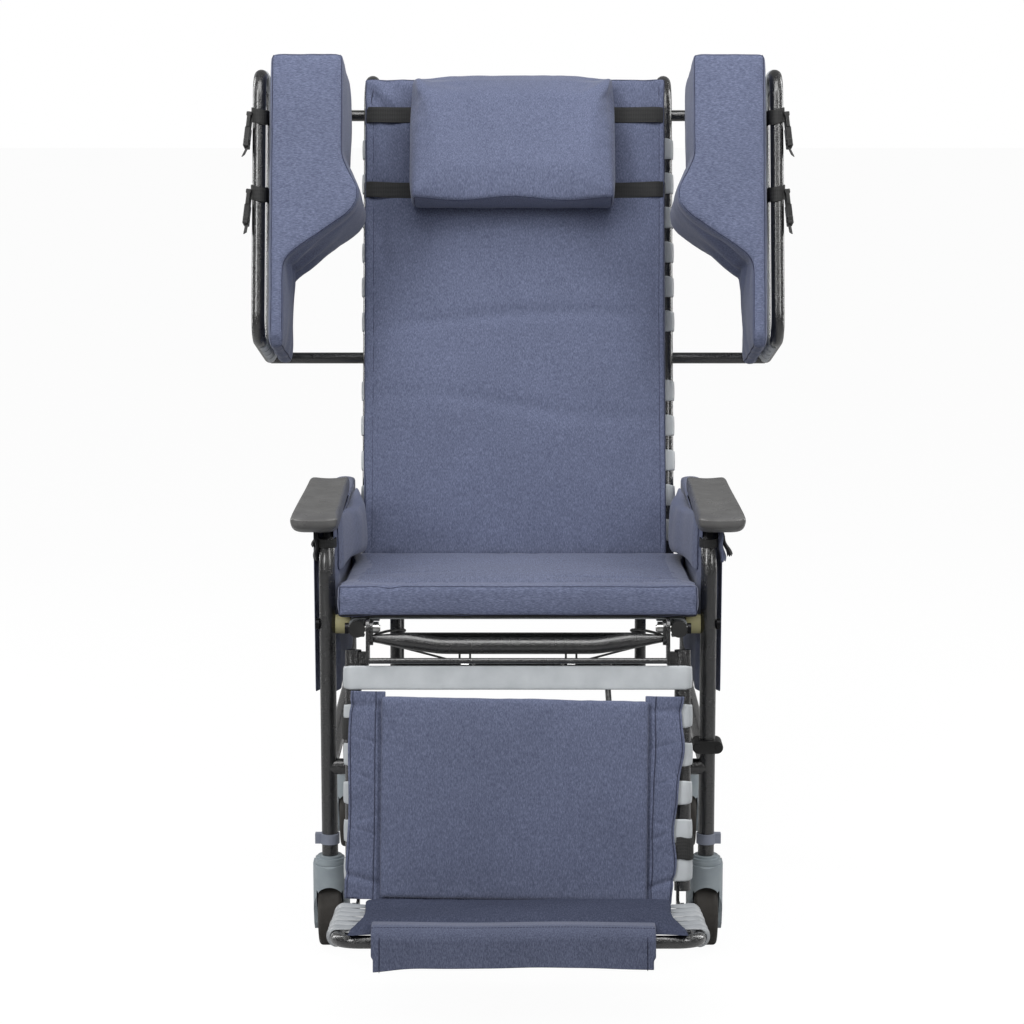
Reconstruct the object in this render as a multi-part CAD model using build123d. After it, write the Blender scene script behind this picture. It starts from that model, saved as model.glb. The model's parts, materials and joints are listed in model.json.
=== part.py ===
from build123d import *
import os

# Patient recliner chair on four casters: tilting seat, reclining back with sliding side
# wings, lifting legrest with a folding footrest, gas springs under the seat.
# Millimetres. X sideways, Y rearwards, Z up, origin on the floor between the four stems.

os.makedirs("parts", exist_ok=True)

# Tube stock
TUBE = 25.4            # main frame tube, outside diameter
WING_TUBE = 22.0
FOOT_TUBE = 19.0
HOOP_TUBE = 19.0
WALL = 2.0
BEND = 60.0            # centre-line bend radius of the main tube
FIT = 0.05             # radial running clearance of every turning fit
COPE = 0.05            # gap left where one tube is coped to another

# Base
LEG_X = 297.0
FRONT_Y = -280.0
REAR_Y = 280.0
LEG_FOOT_Z = 157.0
ARM_RAIL_Z = 668.0
SIDE_RAIL_Z = 300.0
FRONT_CROSS_Z = 300.0
REAR_CROSS_Z = 190.0

# Body frames, all at rest: X sideways, Y rearwards, Z up along the part
TILT_PIVOT = (0, -280.0, 529.0)
SEAT = Location(TILT_PIVOT, (-4, 0, 0))
BACK = Location((0, 158.9, 498.3), (-14, 0, 0))
LEGREST = Location((0, -331.9, 532.6), (-8, 0, 0))
FOOT_HINGE_Y = -30.0
FOOT_HINGE_Z = -428.0
FOOTREST = LEGREST * Location((0, FOOT_HINGE_Y, FOOT_HINGE_Z))

# Pivot bolts
BOLT_R = 5.0
BOLT_HEAD_R = 8.5
BOLT_HEAD = 6.0
NUT_R = 7.5
PIN_R = 4.0

# Arm pads and fabric side panels
ARM_PAD = (74.0, 390.0, 35.0)
ARM_PAD_CENTRE = (312.0, -160.0)
ARM_PAD_BOTTOM_Z = 681.0
ARM_PAD_DISH = 3.0
PANEL_PAD_X = (251.0, 280.5)
PANEL_LIP_X = (251.0, 274.5)
PANEL_LIP_Z = (676.0, 698.0)
PANEL_PAD_Y = (-250.0, 115.0)
PANEL_PAD_Z = (612.0, 679.0)
PANEL_Y = (-250.0, 225.0)
PANEL_Z = (415.0, 680.0)
PANEL_IN_X = (279.5, 282.5)
PANEL_OUT_X = (311.0, 314.0)
PANEL_CROWN_Y = (38.0, 225.0)
PANEL_CROWN_Z = (682.0, 685.0)

# Small parts on the legs
SPACER_X = (261.0, 284.2)
SPACER_R = 15.0
CLIP_Z = 184.0
CLIP_HEIGHT = 16.0
CLIP_THICK = 2.6
CLIP_TAB = (9.0, 12.0)
CLAMP_Z = 335.0
CLAMP = (48.0, 38.0, 20.0)
CLAMP_SCREW_X = 17.0
CLAMP_SCREW_R = 4.5

# Casters
WHEEL_R = 62.5
TREAD = 38.0
RIM_R = 46.0
TRAIL = 34.0
FORK_WIDTH = 54.0
FORK_INSIDE = 42.0
WHEEL_GAP = 3.0
ARCH_Z = 89.0
STEM_R = 8.0
STEM_TOP_Z = 186.0
FORK_TOP_Z = 143.5
SOCKET_STEPS = ((24.5, 144.0, 149.5), (23.0, 149.5, 153.5), (19.0, 153.5, 156.9))
SOCKET_PLUG_R = 10.6
SOCKET_TOP_Z = 188.0
PEDAL_Y = 84.0
PEDAL_Z = 118.0
PEDAL_HUB_R = 8.0
PEDAL_WIDTH = 38.0
PEDAL_REACH = 40.0
PEDAL_THICK = 8.0

# Straps
STRAP_WIDTH = 38.0
STRAP_THICK = 2.2
STRAP_GAP = 0.1
STRAP_TAIL = 25.0

# Seat
SEAT_RAIL_X = 248.0
SEAT_RAIL_Y = (-62.0, 456.0)
SEAT_CROSS_Y = 405.0
HOOP_X = 208.0
HOOP_Z = (-80.0, -130.0)
LEGREST_PIVOT_Y = -52.0
BACK_HINGE_Y = 440.0
SEAT_STRAP_Y = [40.0 + 60.0 * i for i in range(7)]
FRONT_STRAP_Y = -28.5
FRONT_STRAP_WIDTH = 24.0
FRONT_STRAP_TAIL = 10.0
SEAT_PAD_X = 276.0
SEAT_PAD_Y = (-62.0, 400.0)
SEAT_PAD_Z = (16.5, 77.0)
PLUG_FLANGE = 4.0
PLUG_INSERT = 3.0
SEAT_LUG_FRONT_Y = 379.0
SEAT_LUG_REAR_Y = 427.0

# Back
POST_X = 254.0
POST_FOOT_Z = 48.0
HANDLE_Y = 140.0
HANDLE_Z = 890.0
RECEIVER_Y = 24.0
RECEIVER_Z = (401.0, 826.0)
RECEIVER_X = 262.0
RECEIVER_BORE_R = 9.6
BACK_CROSS_Z = 230.0
HINGE_PLATE_X = (229.0, 234.0)
HINGE_PLATE_R = 14.0
BACK_STRAP_Z = [100.0 + 60.0 * i for i in range(12)]
BACK_PAD_X = (-262.0, 251.0)
BACK_PAD_Y = (-45.0, -18.5)
BACK_PAD_Z = (48.0, 880.0)
PILLOW_CENTRE_X = -9.5
PILLOW_WIDTH = 352.0
PILLOW_Z = (646.0, 874.0)
PILLOW_BACK_Y = -47.0
PILLOW_DEEP_Y = -132.0
PILLOW_THIN_Y = -92.0
WEBBING_Z = (686.0, 814.0)
WEBBING_HEIGHT = 25.0
WEBBING_THICK = 1.2
GRIP_HALF = 95.0
GRIP_R = 15.5
LEVER_X = 145.0
LEVER_Y = 115.0
LEVER_Z = 872.0
LEVER_HUB_R = 7.0
LEVER_HALF_HUB = 4.0
LEVER_BLADE = (70.0, 4.0)
LEVER_TIP_Y = 165.0
LEVER_TIP_Z = 850.0

# Legrest
ARM_PLATE_END_Z = -55.0
ARM_PLATE_R = 16.0
LEG_TUBE_X = 254.0
LEG_TUBE_Z = (-405.0, -33.0)
CROSS_ROD_Y = -16.0
CROSS_ROD_Z = -49.0
CROSS_ROD_D = 9.0
CRANK_DROP = 27.0
CRANK_FLAT_X = 120.0
CRANK_SHOULDER = (175.0, -19.0)
CRANK_TIP = (225.0, -15.0)
CRANK_TIP_D = 10.0
CRANK_TAB_X = (223.5, 228.5)
CRANK_TAB_R = 11.0
CRANK_BEND = 150.0
LEG_SPRING_X = 82.0
LEG_LUG = (8.0, -59.0)
LEG_STRAP_Z = [-75.0 - 59.2 * i for i in range(6)]
CALF_CORE_X = 225.0
CALF_FLAP_X = 262.0
CALF_CORE_Y = (-38.0, -15.6)
CALF_FLAP_Y = (-19.5, -15.6)
CALF_Z = (-418.0, -98.0)
CALF_FLAP_Z = (-410.0, -98.0)

# Footrest
FOOT_TUBE_X = 262.0
FOOT_TUBE_Y = (-295.0, -16.0)
FOOT_BEND = 35.0
FOOT_LUG_X = (244.5, 249.0)
FOOT_EAR_X = (249.6, 254.6)
FOOT_LUG_R = 8.0
FOOT_EAR_REACH = -24.0
FOOT_STRAP_Y = [-52.0 - 38.0 * i for i in range(6)]
FOOT_STRAP_WIDTH = 34.0
FOOT_PAD_X = 242.0
FOOT_PAD_Y = (-316.0, -45.0)
FOOT_PAD_Z = (12.6, 27.0)
APRON_X = (-203.0, 190.0)
APRON_Y = (-320.0, -308.0)
APRON_Z = (-36.0, 27.0)

# Wings
WING_X = 427.0
WING_FRONT_Y = -235.0
WING_Z = (401.0, 844.0)
WING_BEND = 40.0
WING_TIGHT_BEND = 20.0
SLIDE_D = 19.05
SLIDE_INNER_X = 140.0
WING_STRAP_Y = [-172.0 + 45.0 * i for i in range(4)]
WING_PAD_Y = (-275.0, -48.0)
WING_PAD_OUTLINE = ((409, 869), (286, 869), (286, 692), (257, 640), (273, 602), (373, 530),
                    (381, 521), (381, 378), (409, 378))
WING_WEBBING_Z = (639.0, 768.0)
WING_TAB_X = (409.8, 415.8)
WING_TAB_Y = (-236.0, -205.0)
BUCKLE = (9.0, 26.0, 44.0)

# Gas springs: end pins as (y, z) world points, cylinder length, pin-to-piston rod length
SPRING_R = 10.0
SPRING_BORE_R = 7.5
ROD_R = 5.0
EYE_R = 7.4
EYE_WIDTH = 12.0
LUG_R = 8.0
LUG_HALF_GAP = 6.6
LUG_THICK = 3.0
BASE_LUG = (-255.0, 306.0)
BACK_LUG = (30.0, 230.0)
TILT_SPRING_X = 150.0
RECLINE_SPRING_X = -205.0
LEG_SPRING = (330.0, 250.0)
TILT_SPRING = (150.0, 229.0)
RECLINE_SPRING = (230.0, 160.0)


def union(shapes):
    """One shape from a list."""
    total = shapes[0]
    for shape in shapes[1:]:
        total += shape
    return total


def run(points, diameter, bend=0.0):
    """Round bar along a polyline, filleted at its corners."""
    path = FilletPolyline(*points, radius=bend) if bend else Line(*points)
    return sweep(Plane(origin=path @ 0, z_dir=path % 0) * Circle(diameter / 2), path=path)


def weld(tubes, solids=(), cuts=()):
    """Tubes given as (points, diameter, bend) joined with solids, bored out and cut."""
    outside = union([run(*tube) for tube in tubes] + list(solids))
    bores = [run(points, diameter - 2 * WALL, bend) for points, diameter, bend in tubes]
    return outside - union(bores + list(cuts))


def block(x, y, z):
    """Box from three (low, high) ranges."""
    size = (x[1] - x[0], y[1] - y[0], z[1] - z[0])
    middle = ((x[0] + x[1]) / 2, (y[0] + y[1]) / 2, (z[0] + z[1]) / 2)
    return Pos(*middle) * Box(*size)


def soft(x, y, z, radius):
    """Rounded box for a cushion."""
    box = block(x, y, z)
    return fillet(box.edges(), radius)


def disc(x, centre, radius):
    """Cylinder lying along X from x[0] to x[1] about a (y, z) centre."""
    middle = Pos((x[0] + x[1]) / 2, centre[0], centre[1])
    return middle * Rot(0, 90, 0) * Cylinder(radius, x[1] - x[0])


def ring(x, centre, radius, hole):
    """Bored disc."""
    return disc(x, centre, radius) - disc(x, centre, hole)


def plate(x, root, tip, radius):
    """Round-ended plate across X between two (y, z) points."""
    dy, dz = tip[0] - root[0], tip[1] - root[1]
    length = (dy * dy + dz * dz) ** 0.5
    middle = ((x[0] + x[1]) / 2, (root[0] + tip[0]) / 2, (root[1] + tip[1]) / 2)
    thick = x[1] - x[0]
    web = Plane(origin=middle, x_dir=(1, 0, 0), z_dir=(0, dy, dz)) * Box(thick, 2 * radius, length)
    return web + disc(x, root, radius) + disc(x, tip, radius)


def lugs(x, root, tip, pinned):
    """Pair of lug plates either side of a spring eye, with a welded pin when pinned."""
    inner, outer = LUG_HALF_GAP, LUG_HALF_GAP + LUG_THICK
    pair = [plate((x + inner, x + outer), root, tip, LUG_R),
            plate((x - outer, x - inner), root, tip, LUG_R)]
    if pinned:
        pair.append(disc((x - outer, x + outer), tip, PIN_R))
    return pair


def mirrored(shape):
    """The same part on the other side of the chair."""
    return mirror(shape, about=Plane.YZ)


def both(shape):
    """A part and its mirror image."""
    return shape + mirrored(shape)


def seat_to_world(y, z):
    """World (y, z) of a point given in the seat frame."""
    point = (SEAT * Location((0, y, z))).position
    return (point.Y, point.Z)


def back_to_world(y, z):
    """World (y, z) of a point given in the back frame."""
    point = (BACK * Location((0, y, z))).position
    return (point.Y, point.Z)


def legrest_to_world(y, z):
    """World (y, z) of a point given in the legrest frame."""
    point = (LEGREST * Location((0, y, z))).position
    return (point.Y, point.Z)


# ---------------------------------------------------------------- base

def side_frame():
    """Front leg, arm rail and rear leg in one bent tube, with the low side rail."""
    arch = [(LEG_X, FRONT_Y, LEG_FOOT_Z), (LEG_X, FRONT_Y, ARM_RAIL_Z),
            (LEG_X, REAR_Y, ARM_RAIL_Z), (LEG_X, REAR_Y, LEG_FOOT_Z)]
    rail = [(LEG_X, FRONT_Y, SIDE_RAIL_Z), (LEG_X, REAR_Y, SIDE_RAIL_Z)]
    hole = disc((LEG_X - TUBE, LEG_X + TUBE), TILT_PIVOT[1:], BOLT_R + FIT)
    return weld([(arch, TUBE, BEND), (rail, TUBE, 0)], cuts=[hole])


def base_cross_tubes():
    """Front and rear cross tubes coped to the legs; the front one carries a spring lug."""
    front = [(-LEG_X, FRONT_Y, FRONT_CROSS_Z), (LEG_X, FRONT_Y, FRONT_CROSS_Z)]
    rear = [(-LEG_X, REAR_Y, REAR_CROSS_Z), (LEG_X, REAR_Y, REAR_CROSS_Z)]
    lug = lugs(TILT_SPRING_X, (FRONT_Y, FRONT_CROSS_Z), BASE_LUG, pinned=True)
    pair = weld([(front, TUBE, 0), (rear, TUBE, 0)], solids=lug)
    leg_cope = TUBE + 2 * COPE
    copes = []
    for y in (FRONT_Y, REAR_Y):
        copes.append(run([(LEG_X, y, 0), (LEG_X, y, ARM_RAIL_Z)], leg_cope))
    copes.append(run([(LEG_X, FRONT_Y, SIDE_RAIL_Z), (LEG_X, REAR_Y, SIDE_RAIL_Z)], leg_cope))
    cut = union(copes)
    return pair - cut - mirrored(cut)


def arm_pad():
    """Moulded arm pad with a dished top."""
    x, y = ARM_PAD_CENTRE
    width, length, height = ARM_PAD
    pad = Pos(x, y, ARM_PAD_BOTTOM_Z + height / 2) * Box(width, length, height)
    pad = fillet(pad.edges().filter_by(Axis.Z), width / 4)
    pad = fillet(pad.faces().sort_by(Axis.Z)[-1].edges(), height / 4)
    top = ARM_PAD_BOTTOM_Z + height
    dish_r = width * width / (8 * ARM_PAD_DISH)
    dish = Pos(x, y, top + dish_r - ARM_PAD_DISH) * Rot(90, 0, 0) * Cylinder(dish_r, length - width)
    return pad - dish


def side_panel():
    """Fabric side panel: padded inside, hung over the arm rail."""
    pad = block(PANEL_PAD_X, PANEL_PAD_Y, PANEL_PAD_Z)
    pad += block(PANEL_LIP_X, PANEL_PAD_Y, PANEL_LIP_Z)
    inside = block(PANEL_IN_X, PANEL_Y, PANEL_Z)
    outside = block(PANEL_OUT_X, PANEL_Y, PANEL_Z)
    crown = block((PANEL_IN_X[0], PANEL_OUT_X[1]), PANEL_CROWN_Y, PANEL_CROWN_Z)
    joins = [block(x, PANEL_CROWN_Y, (PANEL_Z[1], PANEL_CROWN_Z[1])) for x in (PANEL_IN_X, PANEL_OUT_X)]
    return union([inside, outside, crown, pad] + joins)


def tilt_spacers():
    """Nylon spacers between the seat rails and the front legs."""
    return both(ring(SPACER_X, TILT_PIVOT[1:], SPACER_R, BOLT_R + FIT))


def pivot_bolt(head_x, tip_x, nut_x, centre):
    """Bolt with head and nut, lying along X."""
    shank = disc((tip_x, head_x), centre, BOLT_R)
    head = disc((head_x, head_x + BOLT_HEAD), centre, BOLT_HEAD_R)
    return shank + head + disc(nut_x, centre, NUT_R)


def base_fasteners():
    """Tilt pivot bolts through leg, spacer and seat rail."""
    outer = LEG_X + TUBE / 2 + COPE
    inner = SEAT_RAIL_X - TUBE / 2 - COPE
    nut = (inner - BOLT_HEAD - 2, inner)
    return both(pivot_bolt(outer, nut[0] - 2, nut, TILT_PIVOT[1:]))


def leg_clips():
    """Plastic snap clips on the front legs above the casters."""
    inside = TUBE / 2 + COPE
    band = Cylinder(inside + CLIP_THICK, CLIP_HEIGHT) - Cylinder(inside, CLIP_HEIGHT)
    reach = inside + CLIP_THICK / 2
    tab = block((reach, reach + CLIP_TAB[0]), (-CLIP_TAB[1] / 2, CLIP_TAB[1] / 2),
                (-CLIP_HEIGHT / 2, CLIP_HEIGHT / 2))
    return both(Pos(LEG_X, FRONT_Y, CLIP_Z) * (band + tab))


def accessory_clamp():
    """Saddle clamp round one front leg with two screws."""
    width, depth, height = CLAMP
    body = extrude(Plane.XZ * SlotOverall(width, height), amount=depth / 2, both=True)
    screws = [Pos(x, -depth / 2, 0) * Rot(90, 0, 0) * Cylinder(CLAMP_SCREW_R, 3)
              for x in (-CLAMP_SCREW_X, CLAMP_SCREW_X)]
    clamp = union([body] + screws) - Cylinder(TUBE / 2 + COPE, height)
    return Pos(LEG_X, FRONT_Y, CLAMP_Z) * clamp


def corners():
    """Stem positions: front left, front right, rear left, rear right."""
    return {"fl": (-LEG_X, FRONT_Y), "fr": (LEG_X, FRONT_Y),
            "rl": (-LEG_X, REAR_Y), "rr": (LEG_X, REAR_Y)}


def upright(radius, z):
    """Vertical cylinder between two heights."""
    return Pos(0, 0, (z[0] + z[1]) / 2) * Cylinder(radius, z[1] - z[0])


def caster_sockets():
    """Stepped collars and stem sockets in the four leg feet."""
    steps = [upright(radius, (low, high)) for radius, low, high in SOCKET_STEPS]
    steps.append(upright(SOCKET_PLUG_R, (SOCKET_STEPS[-1][1], SOCKET_TOP_Z)))
    socket = union(steps) - upright(STEM_R + FIT, (0, SOCKET_TOP_Z))
    return union([Pos(x, y, 0) * socket for x, y in corners().values()])


def caster_fork(braked):
    """Swivel fork: hood over the wheel, two cheeks and the stem."""
    half = FORK_WIDTH / 2
    side = [(-half, FORK_TOP_Z), (-half, ARCH_Z + 20), (2, 62), (8, 42), (23, 28), (45, 28), (61, 43),
            (68, 84), (60, 124), (half, FORK_TOP_Z)]
    outline = Plane.YZ * make_face(Polyline(*side, close=True))
    hood = extrude(outline, amount=half, both=True)
    hood = fillet(hood.edges().filter_by(Axis.X), 4)
    rounded = upright(half, (0, FORK_TOP_Z)) + block((-half, half), (0, TRAIL + WHEEL_R), (0, FORK_TOP_Z))
    hood = hood & rounded
    if braked:
        hood += disc((-half, half), (PEDAL_Y, PEDAL_Z), PEDAL_HUB_R)
        hood += block((-half, half), (50, PEDAL_Y), (PEDAL_Z - PEDAL_HUB_R, PEDAL_Z + PEDAL_HUB_R))
    inside = FORK_INSIDE / 2
    cuts = [disc((-inside, inside), (TRAIL, WHEEL_R), WHEEL_R + WHEEL_GAP),
            block((-inside, inside), (-half, TRAIL), (0, ARCH_Z)),
            Pos(0, 0, ARCH_Z) * Rot(90, 0, 0) * Cylinder(inside, FORK_WIDTH),
            disc((-half, half), (TRAIL, WHEEL_R), BOLT_R + FIT)]
    if braked:
        gap = (-inside, inside)
        cuts.append(block(gap, (66, PEDAL_Y + 12), (PEDAL_Z - 12, PEDAL_Z + 12)))
        cuts.append(disc((-half, half), (PEDAL_Y, PEDAL_Z), PIN_R + FIT))
    stem = upright(STEM_R, (FORK_TOP_Z - 1, STEM_TOP_Z))
    return hood - union(cuts) + stem


def caster_tyre():
    """Soft tread."""
    half = TREAD / 2
    tyre = disc((-half, half), (TRAIL, WHEEL_R), WHEEL_R)
    tyre = fillet(tyre.edges(), 6)
    return tyre - disc((-half, half), (TRAIL, WHEEL_R), RIM_R)


def caster_hub():
    """Wheel centre with its axle."""
    half = TREAD / 2
    rim = disc((1 - half, half - 1), (TRAIL, WHEEL_R), RIM_R - COPE)
    dish = disc((0, half), (TRAIL, WHEEL_R), RIM_R - 8) - disc((0, half), (TRAIL, WHEEL_R), 16)
    web = Pos(5, 0, 0) * dish
    axle = disc((0.5 - FORK_WIDTH / 2, FORK_WIDTH / 2 - 0.5), (TRAIL, WHEEL_R), BOLT_R)
    return rim - web - mirrored(web) + axle


def brake_pedal():
    """Foot brake on a rear fork, turning on its own cross pin."""
    half = PEDAL_WIDTH / 2
    hub = disc((-half, half), (PEDAL_Y, PEDAL_Z), PEDAL_HUB_R - 1)
    tread = block((-half, half), (PEDAL_Y, PEDAL_Y + PEDAL_REACH), (PEDAL_Z, PEDAL_Z + PEDAL_THICK))
    tread = fillet(tread.edges().filter_by(Axis.Z), 5)
    pin = disc((0.5 - FORK_WIDTH / 2, FORK_WIDTH / 2 - 0.5), (PEDAL_Y, PEDAL_Z), PIN_R)
    return hub + tread + pin


# ---------------------------------------------------------------- straps

def strap_section(reach, tube_d, tail):
    """Half of a strap seen along the tubes: flat, round the tube and a short tail."""
    inner = tube_d / 2 + STRAP_GAP
    outer = inner + STRAP_THICK
    wrap = Circle(outer) - Circle(inner)
    wrap = Pos(reach, 0) * (wrap & Pos(outer, 0) * Rectangle(2 * outer, 4 * outer))
    flat = Pos(reach / 2, (inner + outer) / 2) * Rectangle(reach, STRAP_THICK)
    end = Pos(reach - tail / 2, -(inner + outer) / 2) * Rectangle(tail, STRAP_THICK)
    return wrap + flat + end


def strap(reach, tube_d, tail=STRAP_TAIL, width=STRAP_WIDTH):
    """Strap across two tubes that run along Z, flat side towards -Y, centred on Z 0."""
    half = strap_section(reach, tube_d, tail)
    whole = half + mirror(half, about=Plane.YZ)
    solid = extrude(whole, amount=width / 2, both=True)
    return mirror(solid, about=Plane.XZ)


# ---------------------------------------------------------------- seat

def seat_frame():
    """Seat rails, rear cross tube and the hoop the gas springs pull on."""
    tubes = []
    for x in (-SEAT_RAIL_X, SEAT_RAIL_X):
        tubes.append(([(x, SEAT_RAIL_Y[0], 0), (x, SEAT_RAIL_Y[1], 0)], TUBE, 0))
    tubes.append(([(-SEAT_RAIL_X, SEAT_CROSS_Y, 0), (SEAT_RAIL_X, SEAT_CROSS_Y, 0)], TUBE, 0))
    for x in (-HOOP_X, HOOP_X):
        tubes.append(([(x, SEAT_CROSS_Y, 0), (x, SEAT_CROSS_Y, HOOP_Z[1])], HOOP_TUBE, 0))
    for z in HOOP_Z:
        tubes.append(([(-HOOP_X, SEAT_CROSS_Y, z), (HOOP_X, SEAT_CROSS_Y, z)], HOOP_TUBE, 0))
    root = (SEAT_CROSS_Y, HOOP_Z[1])
    front, rear = (SEAT_LUG_FRONT_Y, HOOP_Z[1]), (SEAT_LUG_REAR_Y, HOOP_Z[1])
    solids = lugs(TILT_SPRING_X, root, front, pinned=False)
    solids += lugs(RECLINE_SPRING_X, root, rear, pinned=True)
    for x in (-LEG_SPRING_X, LEG_SPRING_X):
        solids += lugs(x, root, front, pinned=True)
    ends = SEAT_RAIL_X + TUBE
    cuts = [disc((-ends, ends), (y, 0), BOLT_R + FIT) for y in (0, LEGREST_PIVOT_Y, BACK_HINGE_Y)]
    return SEAT * weld(tubes, solids, cuts)


def seat_plugs():
    """Plastic plugs in the open front ends of the seat rails."""
    front = SEAT_RAIL_Y[0]
    cap = Pos(SEAT_RAIL_X, front - PLUG_FLANGE / 2, 0) * Rot(90, 0, 0) * Cylinder(TUBE / 2, PLUG_FLANGE)
    insert_r = TUBE / 2 - WALL - COPE
    insert = Pos(SEAT_RAIL_X, front + PLUG_INSERT / 2, 0) * Rot(90, 0, 0) * Cylinder(insert_r, PLUG_INSERT)
    return SEAT * both(cap + insert)


def seat_straps():
    """Row of straps over the seat rails with a narrow one at the front."""
    flat = Rot(-90, 0, 0)
    row = [Pos(0, y, 0) * flat * strap(SEAT_RAIL_X, TUBE) for y in SEAT_STRAP_Y]
    narrow = strap(SEAT_RAIL_X, TUBE, FRONT_STRAP_TAIL, FRONT_STRAP_WIDTH)
    return SEAT * union(row + [Pos(0, FRONT_STRAP_Y, 0) * flat * narrow])


def seat_cushion():
    """Boxed seat cushion."""
    return SEAT * soft((-SEAT_PAD_X, SEAT_PAD_X), SEAT_PAD_Y, SEAT_PAD_Z, 6)


def seat_fasteners():
    """Legrest pivot bolts and back hinge bolts."""
    outer = SEAT_RAIL_X + TUBE / 2 + COPE
    crank_side = CRANK_TAB_X[0] - COPE
    hinge_side = HINGE_PLATE_X[0] - COPE
    legrest = pivot_bolt(outer, crank_side - 11, (crank_side - 9, crank_side), (LEGREST_PIVOT_Y, 0))
    hinge = pivot_bolt(outer, hinge_side - 11, (hinge_side - 9, hinge_side), (BACK_HINGE_Y, 0))
    return SEAT * both(legrest + hinge)


# ---------------------------------------------------------------- back

def lever_lugs(x):
    """Lugs and pin under the push bar for one release lever."""
    inner, outer = LEVER_HALF_HUB + 0.5, LEVER_HALF_HUB + 3.5
    root, tip = (HANDLE_Y, HANDLE_Z), (LEVER_Y, LEVER_Z)
    return [plate((x + inner, x + outer), root, tip, LEVER_HUB_R - 1),
            plate((x - outer, x - inner), root, tip, LEVER_HUB_R - 1),
            disc((x - outer, x + outer), tip, PIN_R)]


def hinge_ears(root, tip, radius, bridge_z, plate_x, tube_x):
    """Plates inside the rails with short bridges out to a pair of tubes."""
    ear = plate(plate_x, root, tip, radius)
    bridge = block((plate_x[0], tube_x), (-9, 9), bridge_z)
    one = ear + bridge
    return [one, mirrored(one)]


def back_frame():
    """Posts and push bar in one bent tube, cross tube and the two wing receivers."""
    bar = [(POST_X, 0, POST_FOOT_Z), (POST_X, 0, HANDLE_Z), (POST_X, HANDLE_Y, HANDLE_Z),
           (-POST_X, HANDLE_Y, HANDLE_Z), (-POST_X, 0, HANDLE_Z), (-POST_X, 0, POST_FOOT_Z)]
    cross = [(-POST_X, 0, BACK_CROSS_Z), (POST_X, 0, BACK_CROSS_Z)]
    solids = hinge_ears((0, 0), (0, 62), HINGE_PLATE_R, (50, 78), HINGE_PLATE_X, POST_X - 4)
    solids += lugs(RECLINE_SPRING_X, (0, BACK_CROSS_Z), BACK_LUG, pinned=False)
    for x in (-LEVER_X, LEVER_X):
        solids += lever_lugs(x)
    reach = (-RECEIVER_X, RECEIVER_X)
    solids += [disc(reach, (RECEIVER_Y, z), TUBE / 2) for z in RECEIVER_Z]
    cuts = [disc(reach, (RECEIVER_Y, z), RECEIVER_BORE_R) for z in RECEIVER_Z]
    cuts.append(disc((-POST_X, POST_X), (0, 0), BOLT_R + FIT))
    return BACK * weld([(bar, TUBE, BEND), (cross, HOOP_TUBE, 0)], solids, cuts)


def back_straps():
    """Ladder of straps over the front of the posts, clear of the wing receivers."""
    clear = TUBE / 2 + STRAP_WIDTH / 2
    heights = [z for z in BACK_STRAP_Z if min(abs(z - r) for r in RECEIVER_Z) > clear]
    return BACK * union([Pos(0, 0, z) * strap(POST_X, TUBE) for z in heights])


def back_pad():
    """Long back pad."""
    return BACK * soft(BACK_PAD_X, BACK_PAD_Y, BACK_PAD_Z, 6)


def head_pillow():
    """Wedge pillow, thicker at the bottom."""
    low, high = PILLOW_Z
    side = [(PILLOW_BACK_Y, low), (PILLOW_DEEP_Y, low), (PILLOW_THIN_Y, high), (PILLOW_BACK_Y, high)]
    wedge = extrude(Plane.YZ * make_face(Polyline(*side, close=True)), amount=PILLOW_WIDTH / 2, both=True)
    return BACK * Pos(PILLOW_CENTRE_X, 0, 0) * fillet(wedge.edges(), 5)


def pillow_webbing():
    """Two webbing bands that hold the pillow to the back pad."""
    gap = 0.3
    inside = [(low - gap, high + gap) for low, high in (BACK_PAD_X, BACK_PAD_Y)]
    grow = WEBBING_THICK
    outside = [(low - grow, high + grow) for low, high in inside]
    bands = []
    for middle in WEBBING_Z:
        z = (middle - WEBBING_HEIGHT / 2, middle + WEBBING_HEIGHT / 2)
        bands.append(block(*outside, z) - block(*inside, z))
    return BACK * union(bands)


def handle_grip():
    """Foam sleeve on the push bar."""
    sleeve = ring((-GRIP_HALF, GRIP_HALF), (HANDLE_Y, HANDLE_Z), GRIP_R, TUBE / 2 + COPE)
    return BACK * sleeve


def release_lever(x):
    """Squeeze lever under the push bar."""
    centre = (LEVER_Y, LEVER_Z)
    hub = disc((x - LEVER_HALF_HUB, x + LEVER_HALF_HUB), centre, LEVER_HUB_R)
    dy, dz = LEVER_TIP_Y - LEVER_Y, LEVER_TIP_Z - LEVER_Z
    length = (dy * dy + dz * dz) ** 0.5
    frame = Plane(origin=(x, LEVER_Y, LEVER_Z), x_dir=(1, 0, 0), z_dir=(0, dy, dz))
    width, thick = LEVER_BLADE
    start = 2 * LEVER_HUB_R
    blade = Pos(0, 0, (start + length) / 2) * Box(width, thick, length - start)
    arm = Pos(0, 0, start / 2 + 1) * Box(2 * LEVER_HALF_HUB, thick, start + 2)
    lever = hub + frame * (blade + arm)
    return BACK * (lever - disc((x - width, x + width), centre, PIN_R + FIT))


# ---------------------------------------------------------------- legrest and footrest

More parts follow.
